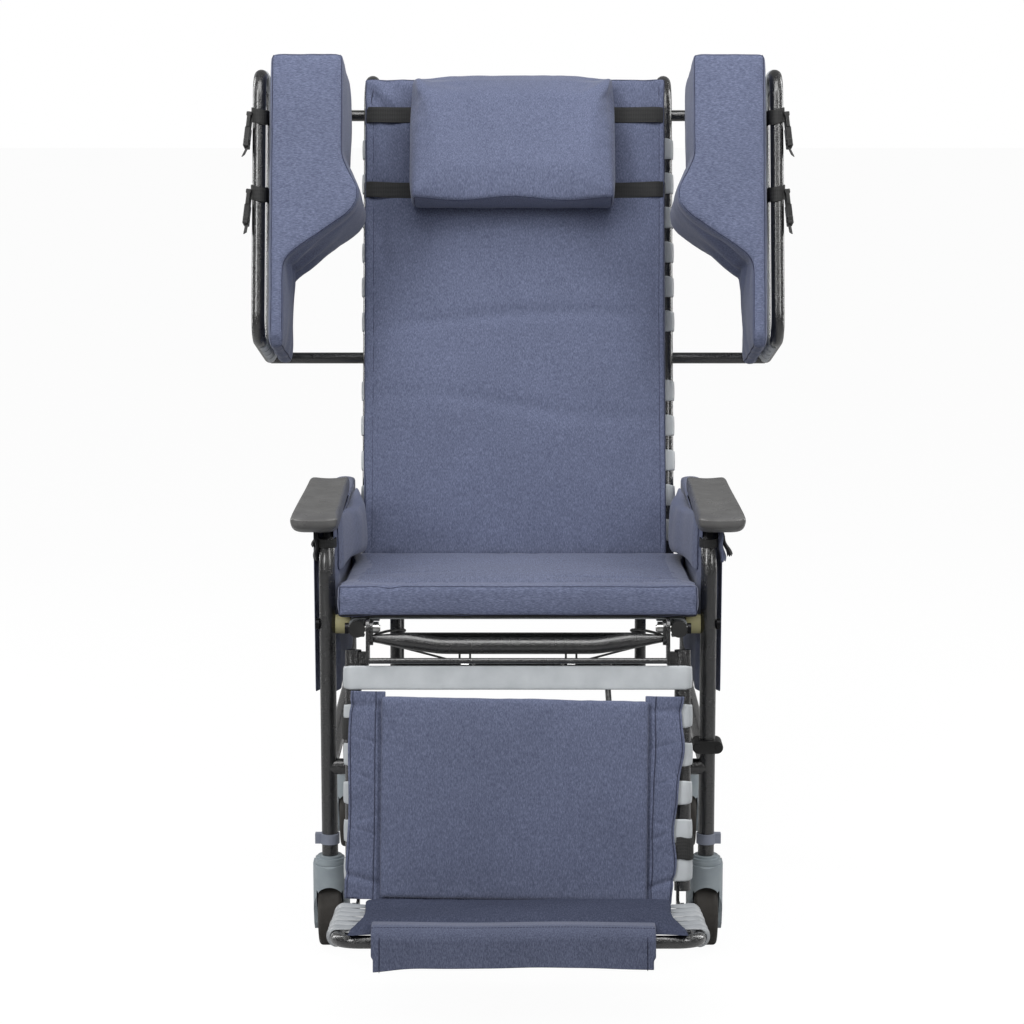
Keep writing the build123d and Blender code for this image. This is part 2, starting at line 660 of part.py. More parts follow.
def legrest_frame():
    """Pivot plates, side tubes, thin cross rod and the footrest hinge lugs."""
    tubes = [([(x, 0, LEG_TUBE_Z[0]), (x, 0, LEG_TUBE_Z[1])], TUBE, 0)
             for x in (-LEG_TUBE_X, LEG_TUBE_X)]
    ear = disc(HINGE_PLATE_X, (0, 0), ARM_PLATE_R)
    ear += block(HINGE_PLATE_X, (-ARM_PLATE_R, ARM_PLATE_R), (ARM_PLATE_END_Z, 0))
    ear += block((HINGE_PLATE_X[0], LEG_TUBE_X - 4), (-9, 9), (ARM_PLATE_END_Z, ARM_PLATE_END_Z + 19))
    foot_lug = plate(FOOT_LUG_X, (0, LEG_TUBE_Z[0] + 6), (0, FOOT_HINGE_Z), FOOT_LUG_R)
    foot_lug += plate(FOOT_LUG_X, (0, FOOT_HINGE_Z), (FOOT_HINGE_Y, FOOT_HINGE_Z), FOOT_LUG_R)
    hinge_pin = disc((FOOT_LUG_X[0], FOOT_EAR_X[1] + 1), (FOOT_HINGE_Y, FOOT_HINGE_Z), PIN_R)
    side = ear + foot_lug + hinge_pin
    rod = disc((-HINGE_PLATE_X[0], HINGE_PLATE_X[0]), (CROSS_ROD_Y, CROSS_ROD_Z), CROSS_ROD_D / 2)
    hole = disc((-LEG_TUBE_X, LEG_TUBE_X), (0, 0), BOLT_R + FIT)
    return LEGREST * weld(tubes, [side, mirrored(side), rod], [hole])


def legrest_crank():
    """Bowed tube with flattened ends on the legrest pivots and lugs for two gas springs."""
    shoulder_x, shoulder_z = CRANK_SHOULDER
    bow = [(-shoulder_x, 0, shoulder_z), (-CRANK_FLAT_X, 0, -CRANK_DROP),
           (CRANK_FLAT_X, 0, -CRANK_DROP), (shoulder_x, 0, shoulder_z)]
    rise = (shoulder_x - CRANK_FLAT_X, 0, shoulder_z + CRANK_DROP)
    start = Plane(origin=(shoulder_x, 0, shoulder_z), z_dir=rise) * Circle(TUBE / 2)
    end = Plane(origin=(CRANK_TIP[0], 0, CRANK_TIP[1]), z_dir=(1, 0, 0)) * Circle(CRANK_TIP_D / 2)
    taper = loft([start, end])
    tab = plate(CRANK_TAB_X, (0, 0), (0, CRANK_TIP[1]), CRANK_TAB_R)
    solids = [taper, mirrored(taper), tab, mirrored(tab)]
    for x in (-LEG_SPRING_X, LEG_SPRING_X):
        solids += lugs(x, (0, -CRANK_DROP), LEG_LUG, pinned=False)
    hole = disc((-POST_X, POST_X), (0, 0), BOLT_R + FIT)
    return LEGREST * weld([(bow, TUBE, CRANK_BEND)], solids, [hole])


def legrest_straps():
    """Straps across the legrest side tubes."""
    return LEGREST * union([Pos(0, 0, z) * strap(LEG_TUBE_X, TUBE) for z in LEG_STRAP_Z])


def calf_pad():
    """Calf pad: foam core with flat stitched side flaps."""
    core = soft((-CALF_CORE_X, CALF_CORE_X), CALF_CORE_Y, CALF_Z, 4)
    flaps = block((-CALF_FLAP_X, CALF_FLAP_X), CALF_FLAP_Y, CALF_FLAP_Z)
    return LEGREST * (core + flaps)


def footrest_frame():
    """Hinged loop of thin tube."""
    rear, front = FOOT_TUBE_Y[1], FOOT_TUBE_Y[0]
    loop = [(-FOOT_TUBE_X, rear, 0), (-FOOT_TUBE_X, front, 0), (FOOT_TUBE_X, front, 0),
            (FOOT_TUBE_X, rear, 0)]
    ear = plate(FOOT_EAR_X, (0, 0), (FOOT_EAR_REACH, 0), FOOT_LUG_R)
    hole = disc((-FOOT_TUBE_X - 2, FOOT_TUBE_X + 2), (0, 0), PIN_R + FIT)
    return FOOTREST * weld([(loop, FOOT_TUBE, FOOT_BEND)], [ear, mirrored(ear)], [hole])


def footrest_straps():
    """Straps across the footrest loop."""
    one = Rot(-90, 0, 0) * strap(FOOT_TUBE_X, FOOT_TUBE, STRAP_TAIL, FOOT_STRAP_WIDTH)
    return FOOTREST * union([Pos(0, y, 0) * one for y in FOOT_STRAP_Y])


def foot_pad():
    """Foot pad with a front apron hanging over the loop."""
    pad = soft((-FOOT_PAD_X, FOOT_PAD_X), FOOT_PAD_Y, FOOT_PAD_Z, 4)
    apron = block(APRON_X, APRON_Y, APRON_Z)
    apron = fillet(apron.edges().filter_by(Axis.X), 4)
    return FOOTREST * (pad + apron)


# ---------------------------------------------------------------- wings (right-hand side)

def wing_frame():
    """Side loop with the two bars that slide in the back's receivers."""
    rear, front = RECEIVER_Y, WING_FRONT_Y
    low, high = WING_Z
    middle = (low + high) / 2
    lower = [(WING_X, rear, middle), (WING_X, rear, low), (WING_X, front, low), (WING_X, front, middle)]
    upper = [(WING_X, rear, middle), (WING_X, rear, high), (WING_X, front, high), (WING_X, front, middle)]
    bends = (WING_TIGHT_BEND, WING_BEND)
    tubes = [(lower, WING_TUBE, bends), (upper, WING_TUBE, bends)]
    for z in RECEIVER_Z:
        tubes.append(([(SLIDE_INNER_X, RECEIVER_Y, z), (WING_X, RECEIVER_Y, z)], SLIDE_D, 0))
    return BACK * weld(tubes)


def wing_strap_section():
    """Closed strap loop round the top and bottom tubes of a wing, seen from the front."""
    inner = WING_TUBE / 2 + STRAP_GAP
    outer = inner + STRAP_THICK
    low, high = WING_Z
    middle = (low + high) / 2
    span = high - low
    loop = SlotCenterToCenter(span, 2 * outer, rotation=90) - SlotCenterToCenter(span, 2 * inner, rotation=90)
    inside_half = Pos(-outer, 0) * Rectangle(2 * outer, span + 4 * outer)
    return Pos(WING_X, middle) * (loop & inside_half)


def wing_straps():
    """Upright straps inside the wing loop."""
    section = Plane.XZ * wing_strap_section()
    one = extrude(section, amount=STRAP_WIDTH / 2, both=True)
    return BACK * union([Pos(0, y, 0) * one for y in WING_STRAP_Y])


def wing_pad():
    """Boxed side wing cushion with its shoulder notch."""
    outline = Plane.XZ * make_face(Polyline(*WING_PAD_OUTLINE, close=True))
    depth = WING_PAD_Y[1] - WING_PAD_Y[0]
    pad = Pos(0, WING_PAD_Y[1], 0) * extrude(outline, amount=depth)
    return BACK * pad


def wing_webbing():
    """Webbing loops with buckles that tie the wing cushion to its loop."""
    inner = WING_TUBE / 2 + STRAP_GAP
    outer = inner + WEBBING_THICK
    thick, deep, tall = BUCKLE
    items = []
    for z in WING_WEBBING_Z:
        band = Cylinder(outer, WEBBING_HEIGHT) - Cylinder(inner, WEBBING_HEIGHT)
        items.append(Pos(WING_X, WING_FRONT_Y, z) * band)
        span = (z - WEBBING_HEIGHT / 2, z + WEBBING_HEIGHT / 2)
        tab = block((WING_TAB_X[0], WING_TAB_X[0] + WEBBING_THICK), WING_TAB_Y, span)
        tie = block(WING_TAB_X, (WING_TAB_Y[0], WING_TAB_Y[0] + WEBBING_THICK), span)
        buckle = block((WING_X + outer - 0.2, WING_X + outer + thick),
                       (WING_FRONT_Y - deep / 2, WING_FRONT_Y + deep / 2), (z - tall, z + WEBBING_HEIGHT / 2))
        items += [tab, tie, buckle]
    return BACK * union(items)


# ---------------------------------------------------------------- gas springs

def spring_line(start, end):
    """Frame at a start pin whose Z axis points at the end pin."""
    way = (0, end[0] - start[0], end[1] - start[1])
    return Plane(origin=(0, start[0], start[1]), x_dir=(1, 0, 0), z_dir=way).location


def eye(z):
    """Spring end eye with its pin hole."""
    half = EYE_WIDTH / 2
    return disc((-half, half), (0, z), EYE_R), disc((-half, half), (0, z), PIN_R + FIT)


def spring_cylinder(start, end, lengths):
    """Gas spring barrel pinned at its closed end."""
    barrel_end = lengths[0]
    knuckle, hole = eye(0)
    floor = EYE_R + SPRING_R
    shoulder = LUG_R + 1
    barrel = upright(SPRING_R, (shoulder, barrel_end)) + upright(EYE_WIDTH / 2, (PIN_R + 2, shoulder))
    hollow = upright(SPRING_BORE_R, (floor, barrel_end - SPRING_R))
    gland = upright(ROD_R + FIT, (floor, barrel_end))
    return spring_line(start, end) * (knuckle + barrel - hole - hollow - gland)


def spring_rod(start, end, lengths):
    """Gas spring rod with its piston and a free end eye."""
    total = ((end[0] - start[0]) ** 2 + (end[1] - start[1]) ** 2) ** 0.5
    piston_at = total - lengths[1]
    knuckle, hole = eye(total)
    rod = upright(ROD_R, (piston_at, total - EYE_R + 1.5))
    piston = upright(SPRING_BORE_R - FIT, (piston_at, piston_at + SPRING_R))
    return spring_line(start, end) * (knuckle + rod + piston - hole)


def both_springs(shape):
    """The legrest spring pair."""
    return union([Pos(x, 0, 0) * shape for x in (-LEG_SPRING_X, LEG_SPRING_X)])


# ---------------------------------------------------------------- every node

seat_front_lug = seat_to_world(SEAT_LUG_FRONT_Y, HOOP_Z[1])
seat_rear_lug = seat_to_world(SEAT_LUG_REAR_Y, HOOP_Z[1])
crank_lug = legrest_to_world(*LEG_LUG)
back_lug = back_to_world(*BACK_LUG)
tilt_at = Pos(TILT_SPRING_X, 0, 0)
recline_at = Pos(RECLINE_SPRING_X, 0, 0)

nodes = {
    "arm_pad_right": arm_pad(),
    "side_panel_right": side_panel(),
    "wing_frame_right": wing_frame(),
    "wing_straps_right": wing_straps(),
    "wing_pad_right": wing_pad(),
    "wing_webbing_right": wing_webbing(),
}
for name in list(nodes):
    nodes[name.replace("right", "left")] = mirrored(nodes[name])

nodes.update({
    "side_frame_right": side_frame(),
    "side_frame_left": Pos(-2 * LEG_X, 0, 0) * side_frame(),
    "base_cross_tubes": base_cross_tubes(),
    "tilt_spacers": tilt_spacers(),
    "base_fasteners": base_fasteners(),
    "leg_clips": leg_clips(),
    "accessory_clamp": accessory_clamp(),
    "caster_sockets": caster_sockets(),
    "seat_frame": seat_frame(),
    "seat_plugs": seat_plugs(),
    "seat_straps": seat_straps(),
    "seat_cushion": seat_cushion(),
    "seat_fasteners": seat_fasteners(),
    "back_frame": back_frame(),
    "back_straps": back_straps(),
    "back_pad": back_pad(),
    "head_pillow": head_pillow(),
    "pillow_webbing": pillow_webbing(),
    "handle_grip": handle_grip(),
    "lever_tilt": release_lever(LEVER_X),
    "lever_recline": release_lever(-LEVER_X),
    "legrest_frame": legrest_frame(),
    "legrest_crank": legrest_crank(),
    "legrest_straps": legrest_straps(),
    "calf_pad": calf_pad(),
    "footrest_frame": footrest_frame(),
    "footrest_straps": footrest_straps(),
    "foot_pad": foot_pad(),
    "legrest_spring_cylinders": both_springs(spring_cylinder(seat_front_lug, crank_lug, LEG_SPRING)),
    "legrest_spring_rods": both_springs(spring_rod(seat_front_lug, crank_lug, LEG_SPRING)),
    "tilt_spring_cylinder": tilt_at * spring_cylinder(BASE_LUG, seat_front_lug, TILT_SPRING),
    "tilt_spring_rod": tilt_at * spring_rod(BASE_LUG, seat_front_lug, TILT_SPRING),
    "recline_spring_cylinder": recline_at * spring_cylinder(seat_rear_lug, back_lug, RECLINE_SPRING),
    "recline_spring_rod": recline_at * spring_rod(seat_rear_lug, back_lug, RECLINE_SPRING),
})

for corner, (x, y) in corners().items():
    place = Pos(x, y, 0)
    nodes["caster_fork_" + corner] = place * caster_fork(braked=corner[0] == "r")
    nodes["caster_tyre_" + corner] = place * caster_tyre()
    nodes["caster_hub_" + corner] = place * caster_hub()
    if corner[0] == "r":
        nodes["brake_pedal_" + corner] = place * brake_pedal()

for name, shape in nodes.items():
    export_step(shape, "parts/" + name + ".step")
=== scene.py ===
import bpy
import json
import math
import numpy as np
from mathutils import Matrix, Vector, kdtree, noise


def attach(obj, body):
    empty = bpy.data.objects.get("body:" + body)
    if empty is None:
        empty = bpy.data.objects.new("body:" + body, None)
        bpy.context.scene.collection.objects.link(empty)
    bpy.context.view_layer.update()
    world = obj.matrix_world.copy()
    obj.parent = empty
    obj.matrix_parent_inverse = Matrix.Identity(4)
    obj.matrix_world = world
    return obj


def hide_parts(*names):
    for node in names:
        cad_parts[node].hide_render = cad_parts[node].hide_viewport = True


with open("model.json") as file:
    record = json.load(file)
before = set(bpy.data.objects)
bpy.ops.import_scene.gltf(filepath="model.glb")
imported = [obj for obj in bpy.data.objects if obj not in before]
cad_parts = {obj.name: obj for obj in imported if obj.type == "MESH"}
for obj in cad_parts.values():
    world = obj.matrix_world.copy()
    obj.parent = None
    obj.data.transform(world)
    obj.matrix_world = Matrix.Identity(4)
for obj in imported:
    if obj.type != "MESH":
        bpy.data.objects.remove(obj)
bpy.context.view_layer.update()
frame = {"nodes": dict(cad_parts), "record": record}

RECORD = frame["record"]
JOINTS = {j["name"]: j for j in RECORD["behaviour"]["joints"]}


def lean(joint, degrees):
    return Matrix.Translation(JOINTS[joint]["pos_m"]) @ Matrix.Rotation(math.radians(degrees), 4, "X")


SEAT = lean("seat_tilt", -4)
BACK = lean("back_recline", -14)
LEGREST = lean("legrest_lift", -8)
FOOTREST = lean("footrest_fold", -8)
WORLD = Matrix.Identity(4)
SIDES = (("left", -1), ("right", 1))


def local_box(node, place):
    """Lowest and highest corner of a CAD node in a tilted frame."""
    back = place.inverted()
    co = np.array([back @ v.co for v in frame["nodes"][node].data.vertices])
    return co.min(0), co.max(0)


# ------------------------------------------------------------------ materials

def new_material(name, base, rough):
    mat = bpy.data.materials.new(name)
    mat.use_nodes = True
    tree = mat.node_tree
    bsdf = tree.nodes["Principled BSDF"]
    bsdf.inputs["Base Color"].default_value = (*base, 1)
    bsdf.inputs["Roughness"].default_value = rough
    return mat, tree, bsdf


def node(tree, kind, **values):
    item = tree.nodes.new(kind)
    for key, value in values.items():
        if key in item.inputs:
            item.inputs[key].default_value = value
        else:
            setattr(item, key, value)
    return item


def coords(tree, scale):
    """Object coordinates stretched by a scale per metre."""
    place = node(tree, "ShaderNodeTexCoord")
    mapping = node(tree, "ShaderNodeMapping")
    mapping.inputs["Scale"].default_value = scale
    tree.links.new(place.outputs["Object"], mapping.inputs["Vector"])
    return mapping.outputs["Vector"]


def noise_at(tree, scale, detail=2.0, rough=0.5):
    tex = node(tree, "ShaderNodeTexNoise", Scale=1.0, Detail=detail, Roughness=rough)
    tree.links.new(coords(tree, scale), tex.inputs["Vector"])
    return tex.outputs["Fac"]


def ramp(tree, fac, stops):
    item = node(tree, "ShaderNodeValToRGB")
    elements = item.color_ramp.elements
    while len(elements) < len(stops):
        elements.new(0.5)
    for element, (place, colour) in zip(elements, stops):
        element.position = place
        element.color = (*colour, 1)
    tree.links.new(fac, item.inputs["Fac"])
    return item.outputs["Color"]


def mix(tree, fac, a, b, kind="MIX"):
    item = node(tree, "ShaderNodeMix", data_type="RGBA", blend_type=kind)
    for socket, value in ((item.inputs[0], fac), (item.inputs[6], a), (item.inputs[7], b)):
        if hasattr(value, "is_linked"):
            tree.links.new(value, socket)
        else:
            socket.default_value = value
    return item.outputs[2]


def add_up(tree, first, second, weight):
    item = node(tree, "ShaderNodeMath", operation="MULTIPLY_ADD")
    tree.links.new(second, item.inputs[0])
    item.inputs[1].default_value = weight
    tree.links.new(first, item.inputs[2])
    return item.outputs[0]


def bump(tree, bsdf, height, distance, strength):
    item = node(tree, "ShaderNodeBump", Strength=strength, Distance=distance)
    tree.links.new(height, item.inputs["Height"])
    tree.links.new(item.outputs["Normal"], bsdf.inputs["Normal"])


def wave(tree, direction, period):
    tex = node(tree, "ShaderNodeTexWave", bands_direction=direction, Scale=1.0, Distortion=0.6)
    per = math.pi / 10 / period
    tree.links.new(coords(tree, (per, per, per)), tex.inputs["Vector"])
    return tex.outputs["Fac"]


def fabric(name, streak, dark, mid, light, long=190.0, sheen=0.18, shine=0.25):
    """Heathered woven cloth whose slubs run along one axis."""
    mat, tree, bsdf = new_material(name, mid, 0.82)
    fine = 720.0
    stretch = [fine, fine, fine]
    stretch["xyz".index(streak)] = long
    slub = noise_at(tree, stretch, 3.0, 0.6)
    speck = noise_at(tree, (1100, 1100, 1100), 1.0)
    tone = ramp(tree, slub, [(0.36, dark), (0.5, mid), (0.65, light)])
    speckle = ramp(tree, speck, [(0.36, dark), (0.52, mid), (0.66, light)])
    both = mix(tree, 0.28, tone, speckle)
    broad = ramp(tree, noise_at(tree, (6, 6, 6)), [(0.3, (0.94,) * 3), (0.7, (1.05,) * 3)])
    tree.links.new(mix(tree, 1.0, both, broad, "MULTIPLY"), bsdf.inputs["Base Color"])
    height = add_up(tree, slub, wave(tree, "X", 0.0016), 0.25)
    height = add_up(tree, height, wave(tree, "Z", 0.0016), 0.25)
    height = add_up(tree, height, speck, 0.5)
    bump(tree, bsdf, height, 0.0005, 0.4)
    bsdf.inputs["Sheen Weight"].default_value = sheen
    bsdf.inputs["Sheen Roughness"].default_value = 0.45
    bsdf.inputs["Specular IOR Level"].default_value = shine
    return mat


def hammered(name):
    """Black hammer-finish paint with rounded pits and small worn highlights."""
    mat, tree, bsdf = new_material(name, (0.007, 0.007, 0.008), 0.24)
    cells = node(tree, "ShaderNodeTexVoronoi", feature="SMOOTH_F1", Scale=1.0)
    tree.links.new(coords(tree, (620, 620, 620)), cells.inputs["Vector"])
    grain = noise_at(tree, (520, 520, 520), 3.0)
    height = add_up(tree, cells.outputs["Distance"], grain, 0.5)
    bump(tree, bsdf, height, 0.0009, 0.8)
    tint = ramp(tree, grain, [(0.35, (0.005, 0.005, 0.0055)), (0.7, (0.011, 0.011, 0.012))])
    tree.links.new(tint, bsdf.inputs["Base Color"])
    gloss = ramp(tree, noise_at(tree, (25, 25, 25)), [(0.3, (0.16,) * 3), (0.7, (0.33,) * 3)])
    tree.links.new(gloss, bsdf.inputs["Roughness"])
    bsdf.inputs["Coat Weight"].default_value = 0.9
    bsdf.inputs["Coat Roughness"].default_value = 0.16
    bsdf.inputs["Specular IOR Level"].default_value = 0.8
    return mat


def moulded(name, dark, light, rough, grain=900.0, depth=0.0003, sheen=0.4):
    """Moulded plastic, rubber or vinyl with a fine grain and uneven gloss."""
    mat, tree, bsdf = new_material(name, light, rough)
    broad = noise_at(tree, (28, 28, 28), 4.0)
    tree.links.new(ramp(tree, broad, [(0.32, dark), (0.68, light)]), bsdf.inputs["Base Color"])
    tree.links.new(ramp(tree, noise_at(tree, (60, 60, 60), 3.0),
                        [(0.3, (rough * 0.8,) * 3), (0.7, (min(1, rough * 1.2),) * 3)]),
                   bsdf.inputs["Roughness"])
    bump(tree, bsdf, noise_at(tree, (grain, grain, grain), 2.0), depth, 0.35)
    bsdf.inputs["Specular IOR Level"].default_value = sheen
    return mat


def webbing_material(name):
    """Black ribbed webbing."""
    mat, tree, bsdf = new_material(name, (0.012, 0.012, 0.013), 0.75)
    ribs = add_up(tree, wave(tree, "Z", 0.0022), wave(tree, "X", 0.003), 0.4)
    bump(tree, bsdf, ribs, 0.0008, 0.6)
    tree.links.new(ramp(tree, ribs, [(0.2, (0.006,) * 3), (0.9, (0.028,) * 3)]), bsdf.inputs["Base Color"])
    return mat


def metal(name, base, rough):
    mat, tree, bsdf = new_material(name, base, rough)
    bsdf.inputs["Metallic"].default_value = 1.0
    scratches = noise_at(tree, (40, 900, 900), 3.0)
    bump(tree, bsdf, scratches, 0.0002, 0.3)
    dull = tuple(c * 0.72 for c in base)
    tree.links.new(ramp(tree, noise_at(tree, (90, 90, 90), 3.0), [(0.35, dull), (0.65, base)]),
                   bsdf.inputs["Base Color"])
    return mat


DENIM_DARK = (0.068, 0.080, 0.134)
DENIM_MID = (0.108, 0.125, 0.200)
DENIM_LIGHT = (0.172, 0.194, 0.292)
BLACK_DARK = (0.006, 0.006, 0.007)
BLACK_MID = (0.012, 0.012, 0.013)
BLACK_LIGHT = (0.02, 0.02, 0.022)
ON_TOP = 75.0   # slubs per metre on faces seen at a shallow angle


def painted_shade_tones(share):
    """The three denim tones darkened to a share of their strength: painted shade for the cloth low down at
    the footrest, where less light falls.
    """
    return [tuple(share * c for c in tone) for tone in (DENIM_DARK, DENIM_MID, DENIM_LIGHT)]


cloth_flat = fabric("woven_blue_across", "x", DENIM_DARK, DENIM_MID, DENIM_LIGHT)
cloth_up = fabric("woven_blue_upright", "z", DENIM_DARK, DENIM_MID, DENIM_LIGHT)
cloth_top = fabric("woven_blue_top", "y", DENIM_DARK, DENIM_MID, DENIM_LIGHT, ON_TOP, 0.10, 0.12)
# Painted shade: the foot pad top and the apron are darker copies of the denim, for the weaker light down at
# the footrest.
cloth_foot_painted_shade = fabric("woven_blue_foot_painted_shade", "y", *painted_shade_tones(0.46), ON_TOP, 0.0, 0.03)
cloth_apron_painted_shade = fabric("woven_blue_apron_painted_shade", "z", *painted_shade_tones(0.70))
cloth_black = fabric("woven_black_base", "x", BLACK_DARK, BLACK_MID, BLACK_LIGHT)
thread = moulded("seam_thread", (0.018, 0.021, 0.045), (0.03, 0.035, 0.07), 0.8)
MATERIALS = {
    "frame_paint": hammered("hammered_black_paint"),
    "upholstery": cloth_up,
    "strap_vinyl": moulded("grey_vinyl", (0.43, 0.455, 0.475), (0.51, 0.535, 0.555), 0.42, 700.0, 0.0004),
    "webbing": webbing_material("black_webbing"),
    "arm_pad_skin": moulded("charcoal_skin_foam", (0.098, 0.097, 0.096), (0.132, 0.131, 0.129), 0.32, 1300.0),
    "nylon_spacer": moulded("cream_nylon", (0.30, 0.28, 0.15), (0.40, 0.37, 0.20), 0.5),
    "zinc": metal("zinc_plate", (0.62, 0.62, 0.60), 0.3),
    "polished_rod": metal("polished_steel", (0.72, 0.72, 0.72), 0.12),
    "spring_paint": moulded("spring_black", (0.010,) * 3, (0.018,) * 3, 0.3),
    "black_plastic": moulded("black_moulding", (0.010,) * 3, (0.022,) * 3, 0.45),
    "clip_plastic": moulded("clip_moulding", (0.20, 0.22, 0.28), (0.28, 0.30, 0.37), 0.5),
    "caster_plastic": moulded("caster_moulding", (0.27, 0.31, 0.34), (0.34, 0.385, 0.41), 0.42),
    "tyre": moulded("tyre_rubber", (0.030, 0.027, 0.024), (0.052, 0.047, 0.042), 0.68, 500.0, 0.0005),
}
# Painted shade: a darker copy of the grey vinyl for the footrest straps, which sit in shadow.
vinyl_painted_shade = moulded("grey_vinyl_painted_shade", (0.27, 0.285, 0.30), (0.35, 0.365, 0.38), 0.42, 700.0, 0.0004)
webbing = MATERIALS["webbing"]
buckle_plastic = MATERIALS["black_plastic"]

SHARP = math.radians(32)


def dress(part):
    """Give a CAD node its material, with smooth faces between its sharp edges."""
    item = frame["nodes"][part["node"]]
    for entry in item.material_slots:
        entry.material = MATERIALS[part["material_slot"]]
    if not item.material_slots:
        item.data.materials.append(MATERIALS[part["material_slot"]])
    item.data.polygons.foreach_set("use_smooth", [True] * len(item.data.polygons))
    item.data.set_sharp_from_angle(angle=SHARP)


for part in RECORD["subparts"]:
    dress(part)


def blacken_outer_bolts():
    """Fasteners on the side frames are black; the ones nearer the middle stay bright."""
    black_zinc = metal("black_zinc", (0.03, 0.03, 0.032), 0.4)
    side_frame_x = 0.255
    for name in ("base_fasteners", "seat_fasteners"):
        mesh = frame["nodes"][name].data
        mesh.materials.append(black_zinc)
        outer = [int(abs(p.center.x) > side_frame_x) for p in mesh.polygons]
        mesh.polygons.foreach_set("material_index", outer)


blacken_outer_bolts()

# ------------------------------------------------------------------ mesh helpers

def make_object(name, points, faces, place, mats, face_mats=None, smooth=True):
    """Mesh object from local points, placed at rest in the row frame."""
    mesh = bpy.data.meshes.new(name)
    moved = np.asarray(points) @ np.array(place.to_3x3()).T + np.array(place.translation)
    mesh.from_pydata([tuple(p) for p in moved], [], faces)
    for mat in mats:
        mesh.materials.append(mat)
    if face_mats is not None:
        mesh.polygons.foreach_set("material_index", face_mats)
    mesh.polygons.foreach_set("use_smooth", [smooth] * len(mesh.polygons))
    mesh.update()
    item = bpy.data.objects.new(name, mesh)
    bpy.context.scene.collection.objects.link(item)
    return item


def box_points(lo, hi):
    """Corner points and faces of a box."""
    pts = [(x, y, z) for x in (lo[0], hi[0]) for y in (lo[1], hi[1]) for z in (lo[2], hi[2])]
    faces = [(0, 1, 3, 2), (4, 6, 7, 5), (0, 4, 5, 1), (2, 3, 7, 6), (0, 2, 6, 4), (1, 5, 7, 3)]
    return np.array(pts), faces


def prism_points(outline, lo, hi, axis):
    """Closed prism from an outline of 2-D points, extruded along x or y."""
    count = len(outline)
    pts = []
    for level in (lo, hi):
        for a, b in outline:
            pts.append((level, a, b) if axis == "x" else (a, level, b))
    faces = [tuple(range(count)), tuple(range(2 * count - 1, count - 1, -1))]
    for i in range(count):
        j = (i + 1) % count
        faces.append((i, i + count, j + count, j))
    return np.array(pts), faces


def box_seams(lo, hi, uprights=True):
    """Edge loops of a box as polylines: bottom ring, top ring, corners."""
    lines = []
    for z in (lo[2], hi[2]):
        ring = [(lo[0], lo[1], z), (hi[0], lo[1], z), (hi[0], hi[1], z), (lo[0], hi[1], z)]
        lines.append(ring + ring[:1])
    if uprights:
        for x in (lo[0], hi[0]):
            for y in (lo[1], hi[1]):
                lines.append([(x, y, lo[2]), (x, y, hi[2])])
    return lines


def sample(line, step):
    """Points every step along a polyline."""
    out = []
    for a, b in zip(line[:-1], line[1:]):
        a, b = np.array(a, float), np.array(b, float)
        n = max(1, int(np.linalg.norm(b - a) / step))
        out += [a + (b - a) * i / n for i in range(n)]
    out.append(np.array(line[-1], float))
    return np.array(out)


def tree_of(points):
    tree = kdtree.KDTree(len(points))
    for i, p in enumerate(points):
        tree.insert(p, i)
    tree.balance()
    return tree


def distances(points, lines):
    """Distance of every point to the nearest seam."""
    tree = tree_of(np.concatenate([sample(line, 0.002) for line in lines]))
    return np.array([tree.find(p)[2] for p in points])


def read_mesh(item):
    """Evaluated points, normals and faces of an object."""
    bpy.context.view_layer.update()
    solved = item.evaluated_get(bpy.context.evaluated_depsgraph_get())
    mesh = solved.to_mesh()
    pts = np.zeros(len(mesh.vertices) * 3)
    mesh.vertices.foreach_get("co", pts)
    nor = np.zeros(len(mesh.vertices) * 3)
    mesh.vertices.foreach_get("normal", nor)
    faces = [tuple(p.vertices) for p in mesh.polygons]
    solved.to_mesh_clear()
    return pts.reshape(-1, 3), nor.reshape(-1, 3), faces


def remeshed(points, faces, voxel):
    """Even skin over a closed shape."""
    item = make_object("blank", points, faces, WORLD, [])
    item.modifiers.new("skin", "REMESH").mode = "VOXEL"
    item.modifiers["skin"].voxel_size = voxel
    pts, _, out = read_mesh(item)
    bpy.data.objects.remove(item)
    return pts, out


def relax(points, faces, times, hold=None):
    """Laplacian smoothing; hold is a 0 to 1 weight that keeps a point in place."""
    edges = np.array([(f[i], f[(i + 1) % len(f)]) for f in faces for i in range(len(f))])
    count = np.zeros(len(points))
    np.add.at(count, edges[:, 0], 1)
    np.add.at(count, edges[:, 1], 1)
    free = 1.0 if hold is None else (1 - hold)[:, None]
    for _ in range(times):
        total = np.zeros_like(points)
        np.add.at(total, edges[:, 0], points[edges[:, 1]])
        np.add.at(total, edges[:, 1], points[edges[:, 0]])
        points = points + free * 0.5 * (total / count[:, None] - points)
    return points


